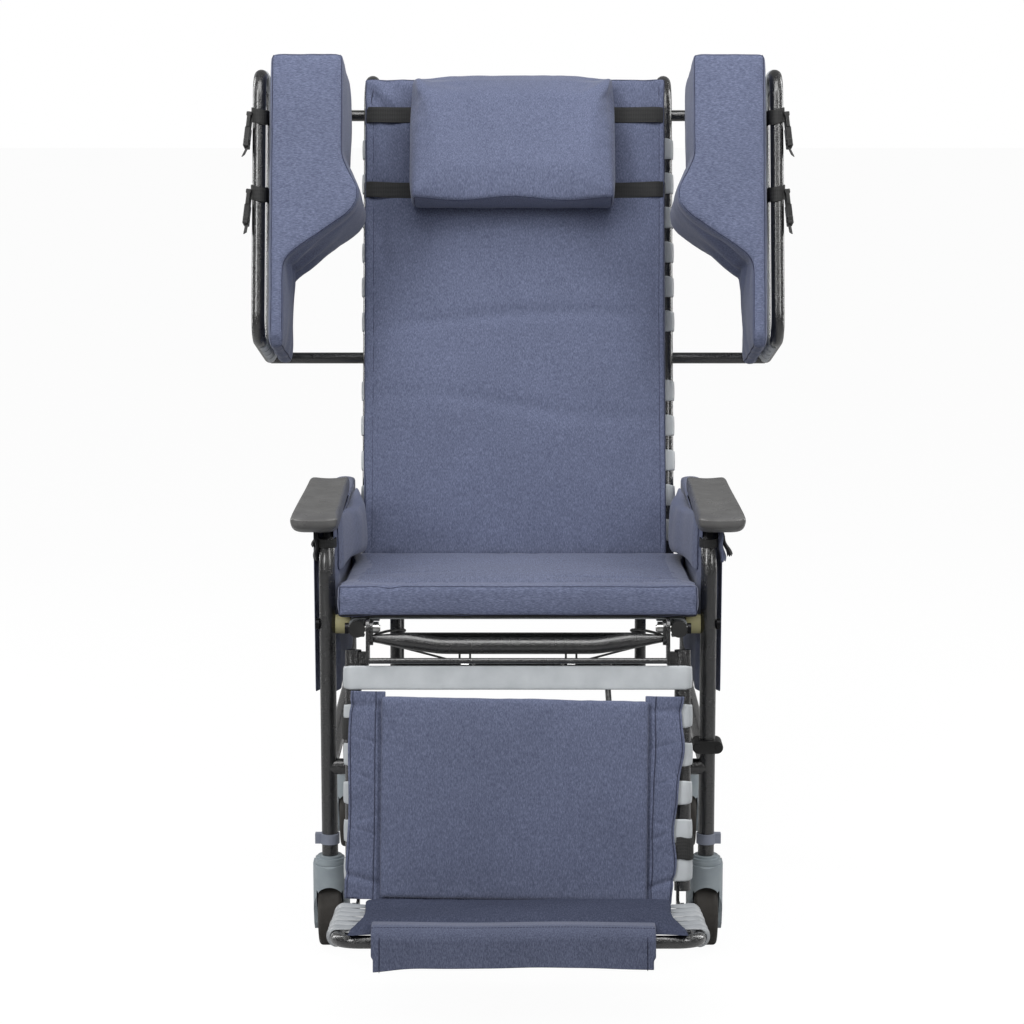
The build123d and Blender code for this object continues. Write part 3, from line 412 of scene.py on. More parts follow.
def inflate(points, faces, pins, pressure, cap, frames=16):
    """Cloth simulation with inner pressure; seams are held and travel is capped."""
    item = make_object("blank", points, faces, WORLD, [])
    group = item.vertex_groups.new(name="held")
    for i, weight in enumerate(pins):
        if weight > 0.02:
            group.add([i], float(weight), "REPLACE")
    cloth = item.modifiers.new("cloth", "CLOTH")
    settings = cloth.settings
    settings.quality = 4
    settings.mass = 0.3
    settings.tension_stiffness = 12
    settings.compression_stiffness = 12
    settings.shear_stiffness = 5
    settings.bending_stiffness = 0.6
    settings.use_pressure = True
    settings.uniform_pressure_force = pressure
    settings.effector_weights.gravity = 0
    settings.vertex_group_mass = "held"
    cloth.collision_settings.use_collision = False
    cloth.point_cache.frame_end = frames + 2
    for number in range(1, frames + 1):
        bpy.context.scene.frame_set(number)
    solved, _, _ = read_mesh(item)
    bpy.data.objects.remove(item)
    bpy.context.scene.frame_set(1)
    move = solved - points
    size = np.linalg.norm(move, axis=1, keepdims=True)
    return points + move * np.minimum(1, cap / np.maximum(size, 1e-9))


def bell(value, middle, width):
    return np.exp(-((value - middle) / width) ** 2)


def ease(value, start, end):
    """Smooth step from 0 at start to 1 at end."""
    t = np.clip((value - start) / (end - start), 0, 1)
    return t * t * (3 - 2 * t)


def normals_of(points, faces):
    """Vertex normals of a closed skin."""
    normal = np.zeros_like(points)
    for f in faces:
        a, b, c = points[f[0]], points[f[1]], points[f[2]]
        n = np.cross(b - a, c - a)
        for i in f:
            normal[i] += n
    return normal / np.maximum(np.linalg.norm(normal, axis=1, keepdims=True), 1e-12)


def wrinkle(points, scale, seed, stretch=(1, 1, 1)):
    """Smooth noise from -1 to 1 at each point."""
    out = np.empty(len(points))
    for i, p in enumerate(points):
        out[i] = noise.noise(Vector((p[0] * scale * stretch[0] + seed, p[1] * scale * stretch[1],
                                     p[2] * scale * stretch[2])))
    return out


def subdivide(item):
    smooth = item.modifiers.new("round", "SUBSURF")
    smooth.levels = 1
    smooth.render_levels = 1


def thicken(item, thick):
    solid = item.modifiers.new("thick", "SOLIDIFY")
    solid.thickness = thick
    solid.offset = 0


def soften(item, width, segments):
    """Rounded edges."""
    edge = item.modifiers.new("soft", "BEVEL")
    edge.width = width
    edge.segments = segments


def puff(name, body, place, shape, seams, mats, replaces=(), voxel=0.006, pressure=4.0, cap=0.02,
         pin=0.010, groove=0.0018, limits=None, folds=None, pucker=0.0008, face_rule=None, settle=2,
         thread_lines=None, shape_rule=None):
    """A padded piece: even skin, inflated between its seams, then grooves, puckers and folds."""
    points, faces = remeshed(*shape, voxel)
    gap = distances(points, seams)
    pins = np.clip(1.15 - gap / pin, 0, 1)
    points = relax(points, faces, settle, hold=np.clip(pins, 0, 0.6))
    points = inflate(points, faces, pins, pressure, cap)
    points = relax(points, faces, settle, hold=np.clip(pins, 0, 0.7))
    normal = normals_of(points, faces)
    near = np.exp(-(gap / 0.0045) ** 2)
    band = np.exp(-((gap - 0.014) / 0.012) ** 2)
    points = points - normal * (groove * near)[:, None]
    points = points + normal * (pucker * band * wrinkle(points, 62, 3.1))[:, None]
    points = points + normal * (0.0007 * wrinkle(points, 14, 7.7))[:, None]
    if folds is not None:
        points = points + normal * folds(points, normal)[:, None]
    if limits is not None:
        points = np.clip(points, limits[0], limits[1])
    lines = seams if thread_lines is None else thread_lines
    if shape_rule is not None:
        points = shape_rule(points)
        lines = [shape_rule(sample(line, 0.006)) for line in lines]
    marks = None if face_rule is None else face_rule(points, faces)
    item = make_object(name, points, faces, place, mats, marks)
    subdivide(item)
    if replaces:
        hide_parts(*replaces)
    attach(item, body)
    seam_curves(name + "_seams", body, place, points, normal, lines)
    return item, points, normal


def curve_piece(name, body, place, tracks, radius, mat, roundness=1, smooth=False):
    """Round threads or cables along polylines given in a tilted frame."""
    data = bpy.data.curves.new(name, "CURVE")
    data.dimensions = "3D"
    data.bevel_depth = radius
    data.bevel_resolution = roundness
    for track in tracks:
        spline = data.splines.new("NURBS" if smooth else "POLY")
        spline.points.add(len(track) - 1)
        for target, p in zip(spline.points, track):
            target.co = (*(place @ Vector(p)), 1)
        if smooth:
            spline.use_endpoint_u = True
            spline.order_u = 4
    data.materials.append(mat)
    item = bpy.data.objects.new(name, data)
    bpy.context.scene.collection.objects.link(item)
    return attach(item, body)


def seam_curves(name, body, place, points, normal, lines, radius=0.0007, lift=-0.0002, step=0.006):
    """Thin thread laid on a piece's surface along its seams."""
    if not lines:
        return
    tree = tree_of(points)
    tracks = []
    for line in lines:
        nearest = [tree.find(p)[1] for p in sample(line, step)]
        track = np.array([points[index] + normal[index] * lift for index in nearest])
        for _ in range(3):
            track[1:-1] = (track[:-2] + 2 * track[1:-1] + track[2:]) / 4
        tracks.append(track)
    curve_piece(name, body, place, tracks, radius, thread)


def sheet(name, body, place, rows, cols, where, thick, mats):
    """Sewn sheet from a function of (u, v), given real thickness."""
    pts = [where(i / (rows - 1), j / (cols - 1)) for i in range(rows) for j in range(cols)]
    faces = [(i * cols + j, i * cols + j + 1, (i + 1) * cols + j + 1, (i + 1) * cols + j)
             for i in range(rows - 1) for j in range(cols - 1)]
    item = make_object(name, pts, faces, place, mats)
    thicken(item, thick)
    subdivide(item)
    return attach(item, body)


def stitches(name, body, place, line, step=0.005, dash=0.003, radius=0.0005):
    """Dashed stitching along a polyline."""
    pts = sample(line, step)
    tracks = []
    for a, b in zip(pts[:-1], pts[1:]):
        size = np.linalg.norm(b - a)
        if size >= 1e-6:
            tracks.append([a, a + (b - a) / size * dash])
    curve_piece(name, body, place, tracks, radius, thread)


# ------------------------------------------------------------------ seat cushion

SEAT_FLARE = 0.0055        # extra half width of the overhang in front of the side panels
SEAT_REAR_SPREAD = 0.040   # widening that keeps the rounded rear corners full
SEAT_BASE = 0.0075         # height of the black base cloth
SEAT_CROWN = 0.008         # depth of the top cloth below the highest point


def seat_cushion():
    lo, hi = local_box("seat_cushion", SEAT)
    start_lo = lo + np.array([0.003, 0.003, 0.001])
    start_hi = hi - np.array([0.003, 0.003, 0.010])

    def cloth_of_face(points, faces):
        """Black cloth below, top cloth above, the other weave on the sides."""
        low, high = lo[2] + SEAT_BASE, hi[2] - SEAT_CROWN
        level = [np.mean([points[i][2] for i in f]) for f in faces]
        return [1 if z < low else 2 if z > high else 0 for z in level]

    def folds(points, normal):
        """A sat-in hollow, gathers beside it, two creases near the front and puckered front corners."""
        x, y = points[:, 0], points[:, 1]
        top = np.clip(normal[:, 2], 0, 1)
        front = np.clip(-normal[:, 1], 0, 1)
        dent = -0.003 * bell(x, 0, 0.2) * bell(y, 0.2, 0.16)
        ruck = 0.0013 * (bell(x, -0.2, 0.06) + bell(x, 0.21, 0.05)) * wrinkle(points, 26, 4.0, (1, 0.3, 1))
        fold = -0.0022 * bell(y + 0.018 * np.sin(x * 8), 0.022, 0.007) * bell(x, 0.16, 0.12)
        fold += -0.0018 * bell(y - 0.010 * np.sin(x * 9), 0.075, 0.010) * bell(x, -0.15, 0.12)
        corner = ease(np.abs(x), 0.235, 0.272) * ease(y, 0.02, -0.05)
        gather = 0.0011 * corner * np.sin(points[:, 2] * 260 + y * 190)
        return top * (dent + ruck + fold) + gather + front * 0.0010 * wrinkle(points, 17, 6.0, (1, 1, 0.4))

    def spread(points):
        """The front overhang and the rear corners are a little wider than the middle."""
        flare = 1 + SEAT_FLARE / start_hi[0] * ease(points[:, 1], 0.028, -0.010)
        flare = flare + SEAT_REAR_SPREAD * ease(points[:, 1], 0.27, 0.395)
        return points * np.stack([flare, np.ones(len(points)), np.ones(len(points))], axis=1)

    puff("seat_cushion_cover", "seat", SEAT, box_points(start_lo, start_hi), box_seams(start_lo, start_hi),
         [cloth_flat, cloth_black, cloth_top], ("seat_cushion",), cap=0.022, pressure=5.0,
         limits=(lo - [0.0005, 0.004, 0], hi + [0.0005, 0.001, 0.011]), folds=folds,
         face_rule=cloth_of_face, shape_rule=spread)


seat_cushion()

# ------------------------------------------------------------------ back pad

HEM = 0.0145              # width of the sewn edge
BAND_Z = (0.685, 0.814)   # heights of the two pillow bands
PILLOW_X = -0.0095        # the pillow's middle
BACK_SPREAD = 1.024       # makes up for the width lost to the rounded edges


def back_pad():
    """The back pad's cover; returns its points for the bands that lie on it."""
    lo, hi = local_box("back_pad", BACK)
    middle = (lo[0] + hi[0]) / 2
    start_lo = lo + np.array([0.002, 0.006, 0.003])
    start_hi = hi - np.array([0.002, 0.001, 0.002])
    hems = [[(x, start_lo[1], start_lo[2]), (x, start_lo[1], start_hi[2])]
            for x in (start_lo[0] + HEM, start_hi[0] - HEM)]

    def folds(points, normal):
        """Two sat-in creases, creased top corners, upright rucks and grooves under the bands."""
        front = np.clip(-normal[:, 1], 0, 1)
        x, z = points[:, 0], points[:, 2]
        low = -0.0030 * bell(z + 0.02 * np.sin(x * 9), 0.31, 0.014) * np.clip(1.1 - abs(x) * 3, 0, 1)
        mid = -0.0034 * bell(z - 0.015 * np.sin(x * 7 + 1), 0.455, 0.012) * np.clip(1.2 - abs(x) * 3.4, 0, 1)
        corner = bell(x, -0.235, 0.045) * bell(z, 0.855, 0.045)
        corner += 0.7 * bell(x, 0.228, 0.045) * bell(z, 0.86, 0.04)
        creases = 0.0034 * corner * np.sin(x * 130 + z * 110)
        upright = -0.0035 * bell(x, -0.215, 0.016) * ease(z, 0.70, 0.78) * ease(z, 0.85, 0.80)
        upright += -0.0032 * bell(x, -0.228, 0.012) * bell(z, 0.60, 0.07)
        strapped = sum(-0.0025 * bell(z, band_z, 0.012) for band_z in BAND_Z)
        foot = 0.0022 * bell(z, 0.075, 0.03) * wrinkle(points, 18, 3.0, (1, 1, 0.5))
        soft = 0.0018 * wrinkle(points, 8, 2.0, (1, 1, 0.6))
        return front * (low + mid + creases + upright + strapped + foot + soft)

    def flatten(points):
        """Flattened behind the pillow and drawn in slightly half-way up."""
        x, z = points[:, 0], points[:, 2]
        behind = ease(np.abs(x - PILLOW_X), 0.185, 0.165) * ease(z, 0.628, 0.640)
        y = np.maximum(points[:, 1], -0.0462 * behind - 0.2 * (1 - behind))
        waist = 1 - 0.006 * bell(z, 0.42, 0.2)
        x = np.clip(middle + (x - middle) * waist * BACK_SPREAD, lo[0] - 0.001, hi[0] + 0.001)
        return np.stack([x, y, z], axis=1)

    _, points, _ = puff(
        "back_pad_cover", "back", BACK, box_points(start_lo, start_hi), box_seams(start_lo, start_hi) + hems,
        [cloth_up], ("back_pad",), cap=0.013, pressure=3.4, pucker=0.0013,
        limits=(lo - [0.002, 0.008, 0], hi + [0.002, 0, 0.002]), folds=folds, shape_rule=flatten)
    return points


back_points = back_pad()

# ------------------------------------------------------------------ head pillow

PILLOW_TOP_DEPTH = 0.038   # how far the top edge lies behind the bottom edge
PILLOW_RISE = 0.009        # lift of the top that makes up for rounding
PILLOW_DRAW = 0.014        # share of the width lost as the filling rounds it


def head_pillow():
    lo, hi = local_box("head_pillow", BACK)
    deep, thin = lo[1] + 0.004, lo[1] + PILLOW_TOP_DEPTH
    left, right = lo[0] + 0.001, hi[0] - 0.001
    middle = (left + right) / 2
    wedge = [(hi[1], lo[2] + 0.002), (deep + 0.006, lo[2] + 0.002), (deep, lo[2] + 0.016),
             (thin, hi[2] - 0.012), (thin + 0.012, hi[2] - 0.002), (hi[1], hi[2] - 0.002)]
    under = [(x, y, lo[2]) for x, y in ((left + 0.004, hi[1]), (left + 0.004, deep + 0.004),
                                        (right - 0.004, deep + 0.004), (right - 0.004, hi[1]),
                                        (left + 0.004, hi[1]))]
    rear_ring = [(left, hi[1], lo[2]), (left, hi[1], hi[2]), (right, hi[1], hi[2]), (right, hi[1], lo[2])]

    def folds(points, normal):
        """Two full lobes at the bottom with valleys that spread upwards between them."""
        front = np.clip(-normal[:, 1], 0, 1)
        x = points[:, 0] - middle
        z = (points[:, 2] - lo[2]) / (hi[2] - lo[2])
        valley = abs(abs(x) - 0.115 * z - 0.012)
        lobes = 0.0045 * bell(np.abs(x), 0.125, 0.05) * bell(z, 0.1, 0.35)
        return front * (lobes - 0.0065 * bell(valley, 0, 0.030) * np.clip(z, 0.1, 1)
                        + 0.0010 * wrinkle(points, 20, 9.0))

    def bow(points):
        """Bottom seam lifted in waves and top edge bowed."""
        x, y, z = points[:, 0] - middle, points[:, 1], points[:, 2]
        part = (z - lo[2]) / (hi[2] - lo[2])
        wave_x = 0.5 + 0.5 * np.cos(x * 36)
        lift = 0.0055 * wave_x * ease(part, 0.35, 0.0) * ease(y, -0.07, -0.12)
        crown = PILLOW_RISE * part - 0.0055 * ease(np.abs(x), 0.10, 0.17) * ease(part, 0.7, 1.0)
        return np.stack([points[:, 0] - PILLOW_DRAW * x, y, z + lift + crown], axis=1)

    puff("head_pillow_cover", "back", BACK, prism_points(wedge, left, right, "x"), [under, rear_ring],
         [cloth_up], ("head_pillow",), voxel=0.005, cap=0.012, pressure=5.0, settle=7, shape_rule=bow,
         limits=(lo - [0.001, 0.004, 0.001], hi + [0.001, 0.0, 0.002]), folds=folds,
         thread_lines=[under[:4]])


head_pillow()

# ------------------------------------------------------------------ wing cushions

WING_OUTLINE = [(0.409, 0.863), (0.403, 0.869), (0.290, 0.869), (0.286, 0.865), (0.286, 0.700),
                (0.272, 0.668), (0.258, 0.645), (0.257, 0.625), (0.268, 0.606), (0.285, 0.592),
                (0.373, 0.531), (0.381, 0.519), (0.381, 0.384), (0.386, 0.378), (0.405, 0.378),
                (0.409, 0.384)]
WING_CORNERS = (1, 2, 12, 15)   # outline points with a seam that runs front to back
WING_TUCK = 0.012               # how far the foot tucks back under the lower bar


def shrink(outline, amount):
    """Outline moved inwards by an amount."""
    count = len(outline)
    area = sum(outline[i][0] * outline[(i + 1) % count][1] - outline[(i + 1) % count][0] * outline[i][1]
               for i in range(count))
    turn = 1 if area > 0 else -1
    out = []
    for i in range(count):
        a, b, c = (np.array(outline[(i + k - 1) % count]) for k in range(3))
        d1, d2 = (b - a) / np.linalg.norm(b - a), (c - b) / np.linalg.norm(c - b)
        n1, n2 = np.array([-d1[1], d1[0]]) * turn, np.array([-d2[1], d2[0]]) * turn
        n = (n1 + n2) / max(1e-6, 1 + n1 @ n2)
        out.append(tuple(b + n * amount))
    return out


def wing_cushion(side, sign):
    lo, hi = local_box("wing_pad_" + side, BACK)
    outline = [(sign * x, z) for x, z in shrink(WING_OUTLINE, 0.002)]
    front, rear = lo[1] + 0.003, hi[1] - 0.002
    rings = [[(x, y, z) for x, z in outline + outline[:1]] for y in (front, rear)]
    ribs = [[(outline[i][0], y, outline[i][1]) for y in (front, rear)] for i in WING_CORNERS]
    seed = 2.0 + sign

    def folds(points, normal):
        """Creases in the notch under the shoulder, a soft inner face and a gathered foot."""
        x, y, z = points[:, 0] * sign, points[:, 1], points[:, 2]
        inner = np.clip(-normal[:, 0] * sign - normal[:, 2] * 0.5, 0, 1)
        deep = ease(y, -0.262, -0.225)
        notch = bell(z, 0.535, 0.045) * bell(x, 0.36, 0.05)
        foot = ease(z, 0.46, 0.39)
        creases = 0.0055 * notch * np.sin(y * 75 + z * 60 + sign) * deep
        ruck = 0.0015 * foot * np.sin(y * 85 + x * 60 + sign * 2) * deep
        under = -0.003 * bell(y, -0.225, 0.010) * bell(z, 0.575, 0.05) * inner
        broad = 0.0022 * wrinkle(points, 15, seed, (1, 1, 0.5)) * inner * deep
        return inner * (creases + under) + broad + ruck + 0.0006 * wrinkle(points, 30, seed)

    def tuck(points):
        """The foot tucks back under the lower bar."""
        x, y, z = points[:, 0], points[:, 1], points[:, 2]
        foot = ease(z, 0.405, 0.378) * ease(y, -0.21, -0.27)
        return np.stack([x, y + WING_TUCK * foot, z], axis=1)

    puff("wing_cushion_" + side, "wing_" + side, BACK, prism_points(outline, front, rear, "y"),
         rings + ribs, [cloth_flat], ("wing_pad_" + side,), cap=0.013, pressure=5.5,
         limits=(lo - [0.004, 0.006, 0.003], hi + [0.004, 0.0008, 0.004]), folds=folds, shape_rule=tuck)


for side, sign in SIDES:
    wing_cushion(side, sign)

# ------------------------------------------------------------------ calf pad

CALF_LEAN = 0.018               # the pad hangs slightly skewed: drop per unit of width
CALF_CORE_X = (-0.2120, 0.2010)
CALF_HEM_X = (-0.262, 0.236)
FLAP_STITCHES = (0.27, 0.93)    # share of a flap's width
CREASES = ((0.30, 0.05), (0.42, -0.06), (0.55, 0.07), (0.74, 0.05))   # height share and slope


def calf_pad():
    lo, hi = local_box("calf_pad", LEGREST)
    core_lo = np.array([CALF_CORE_X[0], lo[1] + 0.006, lo[2] + 0.0005])
    core_hi = np.array([CALF_CORE_X[1], hi[1] - 0.0042, hi[2] - 0.006])
    middle = (lo[2] + hi[2]) / 2

    def turn(points):
        """The pad sits slightly skewed on its straps: the right side is lower."""
        points = np.asarray(points, float)
        drop = CALF_LEAN * (points[..., 0] + 0.005)
        shift = CALF_LEAN * (points[..., 2] - middle)
        x, y, z = points[..., 0] + shift * 0.6, points[..., 1], points[..., 2] - drop
        return np.stack([x, y, np.clip(z, lo[2] - 0.006, hi[2] + 0.004)], axis=-1)

    def folds(points, normal):
        front = np.clip(-normal[:, 1], 0, 1)
        x, z = points[:, 0], points[:, 2]
        edge = 0.0012 * bell(z, hi[2] - 0.02, 0.02) * np.sin(x * 55)
        return front * (0.0016 * wrinkle(points, 9, 5.0, (1, 1, 0.5)) + edge)

    def flap(side, sign, u, v):
        """Point on a side flap: u runs up, v outwards."""
        z = lo[2] - 0.002 + (hi[2] - lo[2] + 0.001) * u
        if side == "left":
            inner, outer = 0.205, 0.2645 - 0.005 * u + 0.0016 * math.sin(u * 9 + 1)
        else:
            inner, outer = 0.194, 0.238 + 0.018 * u + 0.0030 * math.sin(u * 11) - 0.0016 * math.sin(u * 23)
        ruck = math.exp(-((u - 0.07 - 0.05 * v) / 0.018) ** 2) + 0.7 * math.exp(-((u - 0.93) / 0.02) ** 2)
        for place, tilt in CREASES:
            ruck += 0.45 * math.exp(-((u - place - tilt * v) / 0.012) ** 2) * math.sin(math.pi * v)
        drift = 0.0009 * math.sin(u * 27 + v * 3) * v
        hem = 0.0020 * math.exp(-((v - 0.24) / 0.05) ** 2)
        x = inner + (outer - inner) * v - 0.0022 * ruck * v
        y = hi[1] - 0.0032 - 0.0026 * math.sin(v * math.pi) + drift + 0.0022 * ruck - hem
        return tuple(turn((sign * x, min(y, hi[1] - 0.0012), z)))

    def hem_point(u, v):
        """Flat hem that joins the flaps under the core."""
        x = CALF_HEM_X[0] + (CALF_HEM_X[1] - CALF_HEM_X[0]) * v
        sway = 0.0010 * math.sin(x * 31) + 0.0006 * math.sin(x * 77)
        return tuple(turn((x, hi[1] - 0.0034 + sway, lo[2] - 0.002 + 0.022 * u)))

    puff("calf_pad_core", "legrest", LEGREST, box_points(core_lo, core_hi), box_seams(core_lo, core_hi),
         [cloth_up], ("calf_pad",), cap=0.013, pressure=4.5, pucker=0.0012,
         limits=(lo - [0, 0.007, 0.002], [0.208, hi[1] - 0.0022, hi[2] + 0.001]), folds=folds,
         thread_lines=[], shape_rule=turn)
    for side, sign in SIDES:
        sheet("calf_flap_" + side, "legrest", LEGREST, 150, 22,
              lambda u, v: flap(side, sign, u, v), 0.0024, [cloth_up])
        for offset in FLAP_STITCHES:
            line = [np.array(flap(side, sign, i / 120, offset)) - [0, 0.0018, 0] for i in range(121)]
            stitches("calf_flap_stitches_%s_%d" % (side, offset * 100), "legrest", LEGREST, line)
    sheet("calf_hem", "legrest", LEGREST, 8, 90, hem_point, 0.0022, [cloth_up])
    stitches("calf_hem_stitches", "legrest", LEGREST,
             [np.array(hem_point(0.12, i / 120)) - [0, 0.0016, 0] for i in range(121)])


calf_pad()

# ------------------------------------------------------------------ foot pad

PAD_LOW = 0.0126                # underside of the pad, just above the straps
FOOT_HALF = 0.234
FOOT_FRONT = -0.302
APRON_X = (-0.2100, 0.1970)
APRON_TOP, APRON_FRONT = 0.0285, -0.3200
APRON_FLAT, APRON_ROLL = 0.016, 0.021   # length lying on the pad and radius over the bar
APRON_DROP = 0.036


def foot_pad():
    lo, hi = local_box("foot_pad", FOOTREST)
    foot_lo = np.array([-FOOT_HALF, FOOT_FRONT, PAD_LOW + 0.001])
    foot_hi = np.array([FOOT_HALF, hi[1] - 0.003, hi[2] - 0.004])

    def droop(points):
        """Flared front corners that droop over the side straps; narrower towards the rear."""
        x, y, z = points[:, 0], points[:, 1], points[:, 2]
        flare = 1 + 0.055 * ease(y, -0.20, -0.300) - 0.02 * bell(y, -0.16, 0.07)
        corner = ease(np.abs(x), 0.19, 0.24) * ease(y, -0.20, -0.30)
        fall = 0.010 * ease(y, -0.27, -0.312) + 0.004 * corner
        return np.stack([x * flare, y - 0.010 * corner, np.maximum(z - fall, PAD_LOW - 0.001)], axis=1)

    def folds(points, normal):
        top = np.clip(normal[:, 2], 0, 1)
        hollow = -0.0012 * bell(points[:, 1], -0.262, 0.012)
        return top * (0.0012 * wrinkle(points, 12, 8.0, (0.5, 1, 1)) + hollow)

    # The foot pad's top cloth is the copy of the denim with painted shade.
    puff("foot_pad_top", "footrest", FOOTREST, box_points(foot_lo, foot_hi), box_seams(foot_lo, foot_hi),
         [cloth_foot_painted_shade], ("foot_pad",), cap=0.008, pressure=3.0, voxel=0.005,
         limits=([-0.248, -0.3145, PAD_LOW - 0.001], [0.248, hi[1], hi[2] + 0.002]), shape_rule=droop,
         folds=folds, thread_lines=[])


def apron(u, v):
    """Cloth that rolls from the pad's top over the front bar and hangs; u runs down, v across."""
    x = APRON_X[0] + (APRON_X[1] - APRON_X[0]) * v
    arc = APRON_ROLL * math.pi / 2
    tail = APRON_DROP + 0.0045 * math.exp(-(v / 0.10) ** 2) + 0.0025 * (2 * v - 1) ** 2
    along = u * (APRON_FLAT + arc + tail)
    sway = 0.0018 * math.sin(x * 37 + 1) + 0.0012 * math.sin(x * 71)
    top = APRON_TOP + 0.0008 * math.sin(x * 23)
    if along < APRON_FLAT:
        return (x, APRON_FRONT + APRON_ROLL + APRON_FLAT - along, top - 0.003 - 0.001 * along / APRON_FLAT)
    if along < APRON_FLAT + arc:
        turn = (along - APRON_FLAT) / APRON_ROLL
        return (x, APRON_FRONT + APRON_ROLL * (1 - math.sin(turn)),
                top - 0.004 - APRON_ROLL * (1 - math.cos(turn)))
    down = along - APRON_FLAT - arc
    edges = math.exp(-((1 - v) / 0.012) ** 2) - math.exp(-(v / 0.008) ** 2)
    notch = 0.003 * ease(down, 0.020, 0.026) * edges
    return (x - notch, APRON_FRONT + sway * down * 16 - 0.05 * down, top - 0.004 - APRON_ROLL - down)


def foot_apron():
    # The apron cloth is the copy of the denim with painted shade.
    sheet("foot_apron", "footrest", FOOTREST, 60, 90, apron, 0.003, [cloth_apron_painted_shade])
    for offset in (0.03, 0.97):
        line = [np.array(apron(i / 60, offset)) + [0, -0.0018, 0.0004] for i in range(28, 61)]
        stitches("foot_apron_stitches_%d" % (offset * 100), "footrest", FOOTREST, line)
    line = [np.array(apron(0.30, i / 90)) + [0, -0.0012, 0.0012] for i in range(91)]
    stitches("foot_apron_stitches_top", "footrest", FOOTREST, line)


foot_pad()
foot_apron()

# ------------------------------------------------------------------ arm pads

ARM_TAPER = 0.09      # the pad narrows towards the rear by this share
ARM_DISH = 0.0046     # depth of the hollow for the forearm
ARM_NOSE = 0.004      # fall of the top at the front end
ARM_UNDERCUT = 0.008  # rise of the underside at the front end


def arm_pad(side):
    lo, hi = local_box("arm_pad_" + side, WORLD)
    centre = (lo[0] + hi[0]) / 2
    points, faces = remeshed(*box_points(lo, hi), 0.005)
    points = relax(points, faces, 14)
    size = (hi - lo) / (points.max(0) - points.min(0))
    points = lo + (points - points.min(0)) * size
    part = (points[:, 1] - lo[1]) / (hi[1] - lo[1])
    across = (points[:, 0] - centre) / (hi[0] - lo[0]) * 2
    upper = ease(points[:, 2], lo[2] + 0.012, hi[2])
    points[:, 0] = centre + (points[:, 0] - centre) * (1 - ARM_TAPER * ease(part, 0.1, 0.9))
    points[:, 2] -= upper * (ARM_DISH * (1 - across ** 2) + ARM_NOSE * ease(part, 0.10, 0.0))
    points[:, 2] += (1 - upper) * ARM_UNDERCUT * ease(part, 0.09, 0.0)
    cover = make_object("arm_pad_skin_" + side, points, faces, WORLD, [MATERIALS["arm_pad_skin"]])
    subdivide(cover)
    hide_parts("arm_pad_" + side)
    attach(cover, "base")


for side, sign in SIDES:
    arm_pad(side)

# ------------------------------------------------------------------ side panels

PANEL_OUTLINE = [(0.2795, 0.6125), (0.2795, 0.6780), (0.2735, 0.6795), (0.2730, 0.6965), (0.2660, 0.6965),
                 (0.2595, 0.6780), (0.2540, 0.6520), (0.2535, 0.6350), (0.2545, 0.6100)]
PANEL_PAD_Y = (-0.2485, 0.1135)
PANEL_CLEAR = ([0.2455, -0.2505, 0.6100], [0.2800, 0.1150, 0.6985])   # space the pad may fill
SKIRT_Y = (-0.263, 0.223)
SKIRT_Z = (0.415, 0.679)
SKIRT_X = (0.281, 0.312)     # inner and outer skin
CROWN_Y = (0.040, 0.223)
CROWN_WIDTH = 0.0325
# each tie: place along the panel, length, outward swing and half width
TIES = {"left": ((-0.268, 0.050, -0.001, 0.010), (-0.262, 0.030, 0.004, 0.008)),
        "right": ((-0.268, 0.052, 0.004, 0.011), (-0.262, 0.044, 0.016, 0.009))}


def panel_pad(side, sign):
    """Padded inner face of a side panel."""
    outline = [(sign * x, z) for x, z in PANEL_OUTLINE]
    front, rear = PANEL_PAD_Y
    rings = [[(x, y, z) for x, z in outline + outline[:1]] for y in (front, rear)]

    def shape(points):
        """Thin at the front edge, fullest behind the middle, with a lower edge that follows the seat."""
        y, z = points[:, 1], points[:, 2]
        full = 0.22 + 0.70 * ease(y, -0.25, 0.0) - 0.2 * ease(y, 0.05, rear)
        x = sign * (0.2800 - (0.2800 - np.abs(points[:, 0])) * full)
        lower = ease(z, 0.665, 0.615)
        upper = ease(z, 0.655, 0.695)
        z = z - 0.027 * lower * ease(y, -0.20, 0.09) - 0.005 * lower - 0.013 * upper * ease(y, -0.20, 0.0)
        return np.stack([x + sign * 0.005 * ease(y, -0.22, -0.25), y, z], axis=1)

    def folds(points, normal):
        inner = np.clip(-normal[:, 0] * sign, 0, 1)
        return inner * (0.0020 * wrinkle(points, 16, 3.0 + sign) + 0.0012 * np.sin(points[:, 1] * 60))

    near, far = PANEL_CLEAR
    clear = (near, far) if sign > 0 else ([-far[0], *near[1:]], [-near[0], *far[1:]])
    puff("side_panel_pad_" + side, "base", WORLD, prism_points(outline, front, rear, "y"), rings,
         [cloth_up], ("side_panel_" + side,), cap=0.006, pressure=4.0, voxel=0.005, limits=clear,
         shape_rule=shape, folds=folds)


